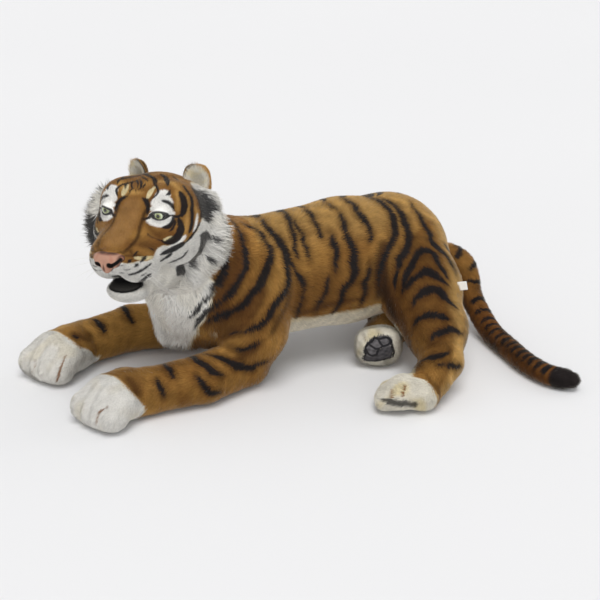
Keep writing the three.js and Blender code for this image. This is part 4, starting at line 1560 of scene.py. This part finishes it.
def plush_material(name, roughness, sheen, bump, grain):
    """Cloth that takes its colour from the painted attribute, with a little unevenness of its own."""
    material = bpy.data.materials.new(name)
    material.use_nodes = True
    nodes, links = material.node_tree.nodes, material.node_tree.links
    shader = nodes["Principled BSDF"]
    paint = nodes.new("ShaderNodeAttribute")
    paint.attribute_name = "coat"
    place = nodes.new("ShaderNodeTexCoord")
    fibres = nodes.new("ShaderNodeTexNoise")
    fibres.inputs["Scale"].default_value = grain
    fibres.inputs["Detail"].default_value = 3
    links.new(place.outputs["Object"], fibres.inputs["Vector"])
    level = nodes.new("ShaderNodeMapRange")
    level.inputs["To Min"].default_value, level.inputs["To Max"].default_value = 0.86, 1.14
    links.new(fibres.outputs["Fac"], level.inputs["Value"])
    tinted = nodes.new("ShaderNodeVectorMath")
    tinted.operation = "SCALE"
    links.new(paint.outputs["Color"], tinted.inputs[0])
    links.new(level.outputs["Result"], tinted.inputs["Scale"])
    links.new(tinted.outputs["Vector"], shader.inputs["Base Color"])
    relief = nodes.new("ShaderNodeBump")
    relief.inputs["Strength"].default_value = bump
    relief.inputs["Distance"].default_value = 0.001
    links.new(fibres.outputs["Fac"], relief.inputs["Height"])
    links.new(relief.outputs["Normal"], shader.inputs["Normal"])
    shader.inputs["Roughness"].default_value = roughness
    shader.inputs["Specular IOR Level"].default_value = 0.2
    shader.inputs["Sheen Weight"].default_value = sheen
    shader.inputs["Sheen Roughness"].default_value = 0.35
    shader.inputs["Sheen Tint"].default_value = (1, 0.95, 0.85, 1)
    return material


def finish_piece(piece, material, slot, *nodes):
    piece.data.materials.append(material)
    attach(piece, "root")
    if nodes:
        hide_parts(*nodes)


plush = plush_material("plush", 0.9, 0.4, 0.35, 420)
FLESH = [
    "head", "neck", "trunk", "tail", "foreleg_left", "foreleg_right", "forepaw_left", "forepaw_right",
    "hindleg_left", "hindleg_right", "hindpaw_left", "hindpaw_right",
]
finish_piece(skin, plush, "striped_plush", *FLESH)
for piece in coat_pieces:
    finish_piece(piece, plush, "striped_plush")

# ---------------------------------------------------------------- eyes

IRIS_RADIUS, PUPIL_RADIUS = 7.2, 2.9
IRIS_PIXELS = {1: (157.9, 216.5), -1: (105.0, 210.5)}


def eyeball(side):
    place = eyes[side]
    ray = pixel_rays([IRIS_PIXELS[side]])[0]
    off = EYE_POINT - place.origin
    b = float(off @ ray)
    inside = b * b - float(off @ off) + EYE_RADIUS**2
    met = EYE_POINT + ray * (-b - math.sqrt(max(inside, 0)))
    gaze = unit(met - place.origin)
    side_way = unit(np.cross(vec(0, 0, 1), gaze))
    up_way = np.cross(gaze, side_way)
    rings, sectors = 56, 96
    polar = np.linspace(0, np.pi, rings + 1)[1:-1]
    turn = np.linspace(0, 2 * np.pi, sectors, endpoint=False)
    polar, turn = (g.ravel() for g in np.meshgrid(polar, turn, indexing="ij"))
    around = np.cos(turn)[:, None] * side_way + np.sin(turn)[:, None] * up_way
    sphere = np.concatenate(
        [[gaze], np.cos(polar)[:, None] * gaze + np.sin(polar)[:, None] * around, [-gaze]]
    ).astype(np.float32)
    number = 1 + np.arange((rings - 1) * sectors).reshape(rings - 1, sectors)
    after = np.roll(number, -1, 1)
    quads = np.stack([number[:-1], number[1:], after[1:], after[:-1]], -1).reshape(-1, 4)
    faces = np.concatenate(
        [
            np.stack([np.zeros(sectors, int), number[0], after[0]], 1),
            quads[:, [0, 1, 2]],
            quads[:, [0, 2, 3]],
            np.stack([after[-1], number[-1], np.full(sectors, len(sphere) - 1)], 1),
        ]
    )
    angle = np.concatenate([[0], polar, [np.pi]])
    radius = EYE_RADIUS * np.sin(np.minimum(angle, np.pi / 2))
    streak = 0.06 * np.sin(np.concatenate([[0], turn, [0]]) * 37 + 3 * np.sin(radius * 3))
    share = radius / IRIS_RADIUS + streak * (radius > PUPIL_RADIUS)
    colour = np.broadcast_to(linear(140, 146, 96), (len(angle), 3))
    colour = mix(colour, linear(196, 206, 174), smooth(0.55, 0.85, share))
    pupil = PUPIL_RADIUS / IRIS_RADIUS
    colour = mix(colour, linear(12, 12, 12), smooth(pupil + 0.05, pupil - 0.05, share))
    colour = mix(colour, linear(12, 11, 11), smooth(0.96, 1.04, share))
    return place.origin + EYE_RADIUS * sphere, faces, colour.astype(np.float32), sphere


def glass_material():
    material = plush_material("eye_glass", 0.25, 0, 0.0, 300)
    shader = material.node_tree.nodes["Principled BSDF"]
    shader.inputs["Specular IOR Level"].default_value = 0.5
    shader.inputs["Coat Weight"].default_value = 1
    shader.inputs["Coat Roughness"].default_value = 0.04
    return material


glass = glass_material()
for side, name in SIDES.items():
    ball_points, ball_faces, ball_colours, ball_normals = eyeball(side)
    ball = new_piece("glass_eye_" + name, ball_points, ball_faces, ball_colours, ball_normals)
    finish_piece(ball, glass, "eye", "eye_" + name)

# ---------------------------------------------------------------- nose

NOSE_PINK = linear(176, 134, 114)
NOSE_EDGE = linear(60, 34, 28)


def nostrils(q):
    """The two nostrils, the slits behind them and the groove down the middle, in head coordinates."""
    whole = np.full(len(q), 99, np.float32)
    for side in (1, -1):
        whole = np.minimum(whole, ellipsoid((161, side * 12, -30), (8, 5, 4.6))(q))
        whole = np.minimum(whole, limb((160, side * 15, -29), 3, (150, side * 27, -21), 2.6)(q))
    return np.minimum(whole, limb((165, 0, -24), 0.8, (162, 0, -48), 1.2)(q))


def nose_piece():
    form = head.form(carve(2.5, nose_shape, nostrils))
    middle = head.out([(148, 0, -24)])[0]
    points, triangles = surface_net(form, middle - 48, middle + 48, 1.25)
    points = relax(form, points, triangles, 0.4)
    q = head.into(points)
    dark = smooth(2.2, 0.2, nostrils(q))
    rim = smooth(21, 27, np.abs(q[:, 1]) + 0.4 * np.clip(-26 - q[:, 2], 0, 30))
    rim = np.maximum(rim, smooth(-14.5, -12, q[:, 2]))
    colour = mix(np.broadcast_to(NOSE_PINK, points.shape), NOSE_EDGE, 0.85 * rim)
    colour = mix(colour, linear(166, 114, 94), 0.6 * smooth(0, 1, noise(points, 7, 90)))
    colour = mix(colour, linear(18, 14, 14), dark)
    return new_piece("nose_pad", points, triangles, colour.astype(np.float32), outward(form, points))


felt = plush_material("nose_felt", 0.6, 0.05, 0.3, 900)
finish_piece(nose_piece(), felt, "nose", "nose")

# ---------------------------------------------------------------- ears

EAR_F, EAR_L, EAR_U, EAR_TURN = -43, 61, 70, 0.3
EAR_RADII = (8, 27, 32)
EAR_BACK, EAR_SPOT = linear(44, 38, 36), linear(214, 206, 188)


def ear(side):
    """One ear as a hollowed flap, with its own short coat."""
    c, s = math.cos(side * EAR_TURN), math.sin(side * EAR_TURN)
    place = Place(head.out((EAR_F, side * EAR_L, EAR_U)), head.turned((c, s, 0)))
    place.axes = np.array([head.turned(v) for v in ((c, s, 0), (-s, c, 0), (0, 0, 1))], np.float32)
    flap = carve(3, squared(EAR_RADII, (0, 0, 0)), squared((9.5, 21.5, 27), (9, 0.6, -2)))
    skin_of = place.form(inset(flap, 0.9))
    points, triangles = surface_net(skin_of, place.origin - 42, place.origin + 42, 1.5)
    points = relax(skin_of, points, triangles, 0.4)
    normals = outward(skin_of, points)

    def colours(p):
        q = place.into(p)
        out = length_of(q[:, 1:] / np.array(EAR_RADII[1:], np.float32))
        back = smooth(1.5, -2.5, q[:, 0])
        colour = np.broadcast_to(linear(250, 238, 204), p.shape)
        colour = mix(colour, linear(250, 244, 228), smooth(0.5, 0, noise(p, 8, 91)))
        inner_side = smooth(4, -4, q[:, 1] * side)
        rim = smooth(0.74 - 0.12 * (1 - inner_side), 0.86, out) * (1 - back * 0.4)
        colour = mix(colour, linear(188, 140, 74), rim)
        lines = np.maximum(smooth(0.1, 0.02, np.abs(out - 0.78)), smooth(0.86, 0.93, out))
        colour = mix(colour, linear(46, 34, 26), lines * inner_side * 0.85 * (1 - back))
        spot = smooth(0.5, 0.36, out) * back
        colour = mix(colour, EAR_BACK, back * smooth(0.96, 0.86, out))
        return mix(colour, EAR_SPOT, spot)

    # painted shade: the ear's shell is darker than its fuzz
    shell = new_piece(
        f"ear_shell_{SIDES[side]}", points, triangles, (colours(points) * 0.9).astype(np.float32), normals
    )
    roots, up, _ = plant(points, triangles, normals, 1.1)
    q = place.into(roots)
    inner = (q[:, 0] > 0) & (length_of(q[:, 1:] / np.array([20, 26], np.float32)) < 1)
    away_from_base = place.turned(unit(q * vec(0, 1, 1) + vec(0, 0, 26)))
    lie_dirs = away_from_base + random.normal(0, 0.25, roots.shape)
    lie_dirs = unit(lie_dirs - (lie_dirs * up).sum(1)[:, None] * up).astype(np.float32)
    n = len(roots)
    lengths = np.where(inner, random.uniform(7, 13, n), random.uniform(2.6, 4.2, n)).astype(np.float32)
    tilts = np.where(inner, 0.5, 0.45).astype(np.float32)
    widths = np.where(inner, 0.8, 0.95).astype(np.float32)
    tint = colours(roots + up * 0.5) * random.uniform(0.88, 1.1, (n, 1))
    fuzz = tufts(
        f"ear_coat_{SIDES[side]}", roots, up, lie_dirs, lengths, widths, tilts, tint.astype(np.float32), True
    )
    return shell, fuzz


for side, name in SIDES.items():
    shell, fuzz = ear(side)
    finish_piece(shell, plush, "ear_plush", "ear_" + name)
    finish_piece(fuzz, plush, "ear_plush")

# ---------------------------------------------------------------- whiskers

WHISKERS = [  # root in head coordinates, then the way it points and its length
    ((118, 42, -34), (0.35, 0.9, 0.05), 62),
    ((112, 45, -42), (0.3, 0.95, -0.08), 66),
    ((116, 43, -50), (0.35, 0.9, -0.25), 58),
    ((104, 46, -54), (0.2, 0.9, -0.4), 50),
]
WHISKER_RADIUS, WHISKER_STEPS, WHISKER_SIDES = 0.42, 10, 5


def whiskers():
    points, faces = [], []
    for side in (1, -1):
        for root, way, size in WHISKERS:
            t = np.linspace(0, 1, WHISKER_STEPS + 1)[:, None]
            way = unit(vec(*way)) * vec(1, side, 1)
            start = vec(*root) * vec(1, side, 1) - way * 4
            line = head.out(start + way * size * t + vec(-8, 0, -10) * t**2)
            direction = head.turned(way)
            across = unit(np.cross(direction, vec(0, 0, 1)))
            above = np.cross(across, direction)
            first = len(points)
            for at, share in zip(line, t[:, 0]):
                r = WHISKER_RADIUS * (1 - 0.8 * share)
                for turn in np.radians(np.arange(WHISKER_SIDES) * 360 / WHISKER_SIDES):
                    points.append(at + r * (math.cos(turn) * across + math.sin(turn) * above))
            for i in range(WHISKER_STEPS):
                here = first + WHISKER_SIDES * i
                for j in range(WHISKER_SIDES):
                    a, b = here + j, here + (j + 1) % WHISKER_SIDES
                    faces += [(a, a + WHISKER_SIDES, b + WHISKER_SIDES), (a, b + WHISKER_SIDES, b)]
            last = first + WHISKER_SIDES * WHISKER_STEPS
            faces += [(last, last + k, last + k + 1) for k in range(1, WHISKER_SIDES - 1)]
    points = np.array(points, np.float32)
    colour = np.broadcast_to(linear(232, 230, 224), points.shape).astype(np.float32)
    return new_piece("whiskers", points, np.array(faces), colour)


nylon = plush_material("whisker_nylon", 0.35, 0, 0.1, 900)
finish_piece(whiskers(), nylon, "white_plush")

# ---------------------------------------------------------------- label

LABEL = Place((232, -154, 160), (0.75, -0.6, 0.2))
LABEL_SIZE = (15, 17, 1.2)


def label_piece():
    """A blank ribbon folded in two and sewn in at its open end."""
    steps, rows = 24, 10
    reach, wide, thick = LABEL_SIZE
    loop = []
    for t in np.linspace(0, 1, steps):
        if t < 0.4:
            loop.append((-12 + (reach + 11) * t / 0.4, -thick / 2))
        elif t > 0.6:
            loop.append((-12 + (reach + 11) * (1 - t) / 0.4, thick / 2))
        else:
            turn = (t - 0.4) / 0.2 * math.pi - math.pi / 2
            loop.append((reach - 1 + 0.8 * math.cos(turn), thick / 2 * math.sin(turn)))
    points = []
    for offset in (-0.16, 0.16):
        for i, (x, y) in enumerate(loop):
            for z in np.linspace(-wide / 2, wide / 2, rows):
                away = offset * (1 if y > 0 else -1) if abs(y) > thick * 0.45 else 0
                grow_out = offset if abs(y) <= thick * 0.45 else 0
                points.append((x + grow_out, y + away + 0.4 * math.sin(x * 0.2 + z * 0.15), z))
    points = LABEL.out(np.array(points, np.float32))
    faces = []
    layer = steps * rows
    for i in range(steps - 1):
        for j in range(rows - 1):
            a = i * rows + j
            quad = (a, a + 1, a + rows + 1, a + rows)
            faces += [(quad[0], quad[1], quad[2]), (quad[0], quad[2], quad[3])]
            b = [layer + k for k in quad]
            faces += [(b[0], b[2], b[1]), (b[0], b[3], b[2])]
    for i in range(steps - 1):
        for j, flip in ((0, False), (rows - 1, True)):
            a, b = i * rows + j, (i + 1) * rows + j
            quad = (a, b, layer + b, layer + a)
            quad = quad[::-1] if flip else quad
            faces += [(quad[0], quad[1], quad[2]), (quad[0], quad[2], quad[3])]
    colour = np.broadcast_to(linear(238, 238, 234), points.shape).astype(np.float32)
    return new_piece("sewn_label", points, np.array(faces), colour)


ribbon = plush_material("label_ribbon", 0.55, 0.1, 0.4, 1200)
finish_piece(label_piece(), ribbon, "label", "label")

# ---------------------------------------------------------------- floor, light and camera


def floor_piece():
    mesh = bpy.data.meshes.new("studio_floor")
    mesh.from_pydata([(-14, -14, 0), (14, -14, 0), (14, 14, 0), (-14, 14, 0)], [], [(0, 1, 2, 3)])
    floor = bpy.data.objects.new("studio_floor", mesh)
    bpy.context.scene.collection.objects.link(floor)
    material = bpy.data.materials.new("studio_paper")
    material.use_nodes = True
    nodes, links = material.node_tree.nodes, material.node_tree.links
    shader = nodes["Principled BSDF"]
    place, tone = nodes.new("ShaderNodeTexCoord"), nodes.new("ShaderNodeTexNoise")
    tone.inputs["Scale"].default_value = 0.8
    links.new(place.outputs["Object"], tone.inputs["Vector"])
    ramp = nodes.new("ShaderNodeValToRGB")
    ramp.color_ramp.elements[0].color = (*linear(232, 232, 233), 1)
    ramp.color_ramp.elements[1].color = (*linear(235, 235, 236), 1)
    links.new(tone.outputs["Fac"], ramp.inputs["Fac"])
    links.new(ramp.outputs["Color"], shader.inputs["Base Color"])
    shader.inputs["Roughness"].default_value = 0.95
    shader.inputs["Specular IOR Level"].default_value = 0.1
    mesh.materials.append(material)


floor_piece()

SKY_STRENGTH = 0.51
world = bpy.data.worlds.new("studio")
bpy.context.scene.world = world
world.use_nodes = True
sky = world.node_tree.nodes["Background"]
sky.inputs["Color"].default_value = (1, 1, 1, 1)
sky.inputs["Strength"].default_value = SKY_STRENGTH


def soft_sun(name, strength, spread, points_along):
    light = bpy.data.lights.new(name, "SUN")
    light.energy, light.angle = strength, math.radians(spread)
    lamp = bpy.data.objects.new(name, light)
    lamp.rotation_mode = "QUATERNION"
    lamp.rotation_quaternion = Vector(points_along).to_track_quat("-Z", "Y")
    bpy.context.scene.collection.objects.link(lamp)


soft_sun("key", 1.52, 34, (0.12, 0.38, -1))
soft_sun("front", 0.82, 60, (0.45, 1, -0.35))
soft_sun("side", 0.42, 50, (-1, 0.05, -0.4))

camera_data = bpy.data.cameras.new("camera")
camera_data.lens, camera_data.sensor_width, camera_data.clip_end = LENS, SENSOR, 100
camera = bpy.data.objects.new("camera", camera_data)
camera.matrix_world = Matrix.Translation(Vector(to_row(EYE_POINT))) @ Matrix(
    np.stack([RIGHT, UP, BACK], 1).tolist()
).to_4x4()
bpy.context.scene.collection.objects.link(camera)
bpy.context.scene.camera = camera
bpy.context.scene.view_settings.view_transform = "Standard"
bpy.context.scene.view_settings.look = "None"

bpy.context.view_layer.update()
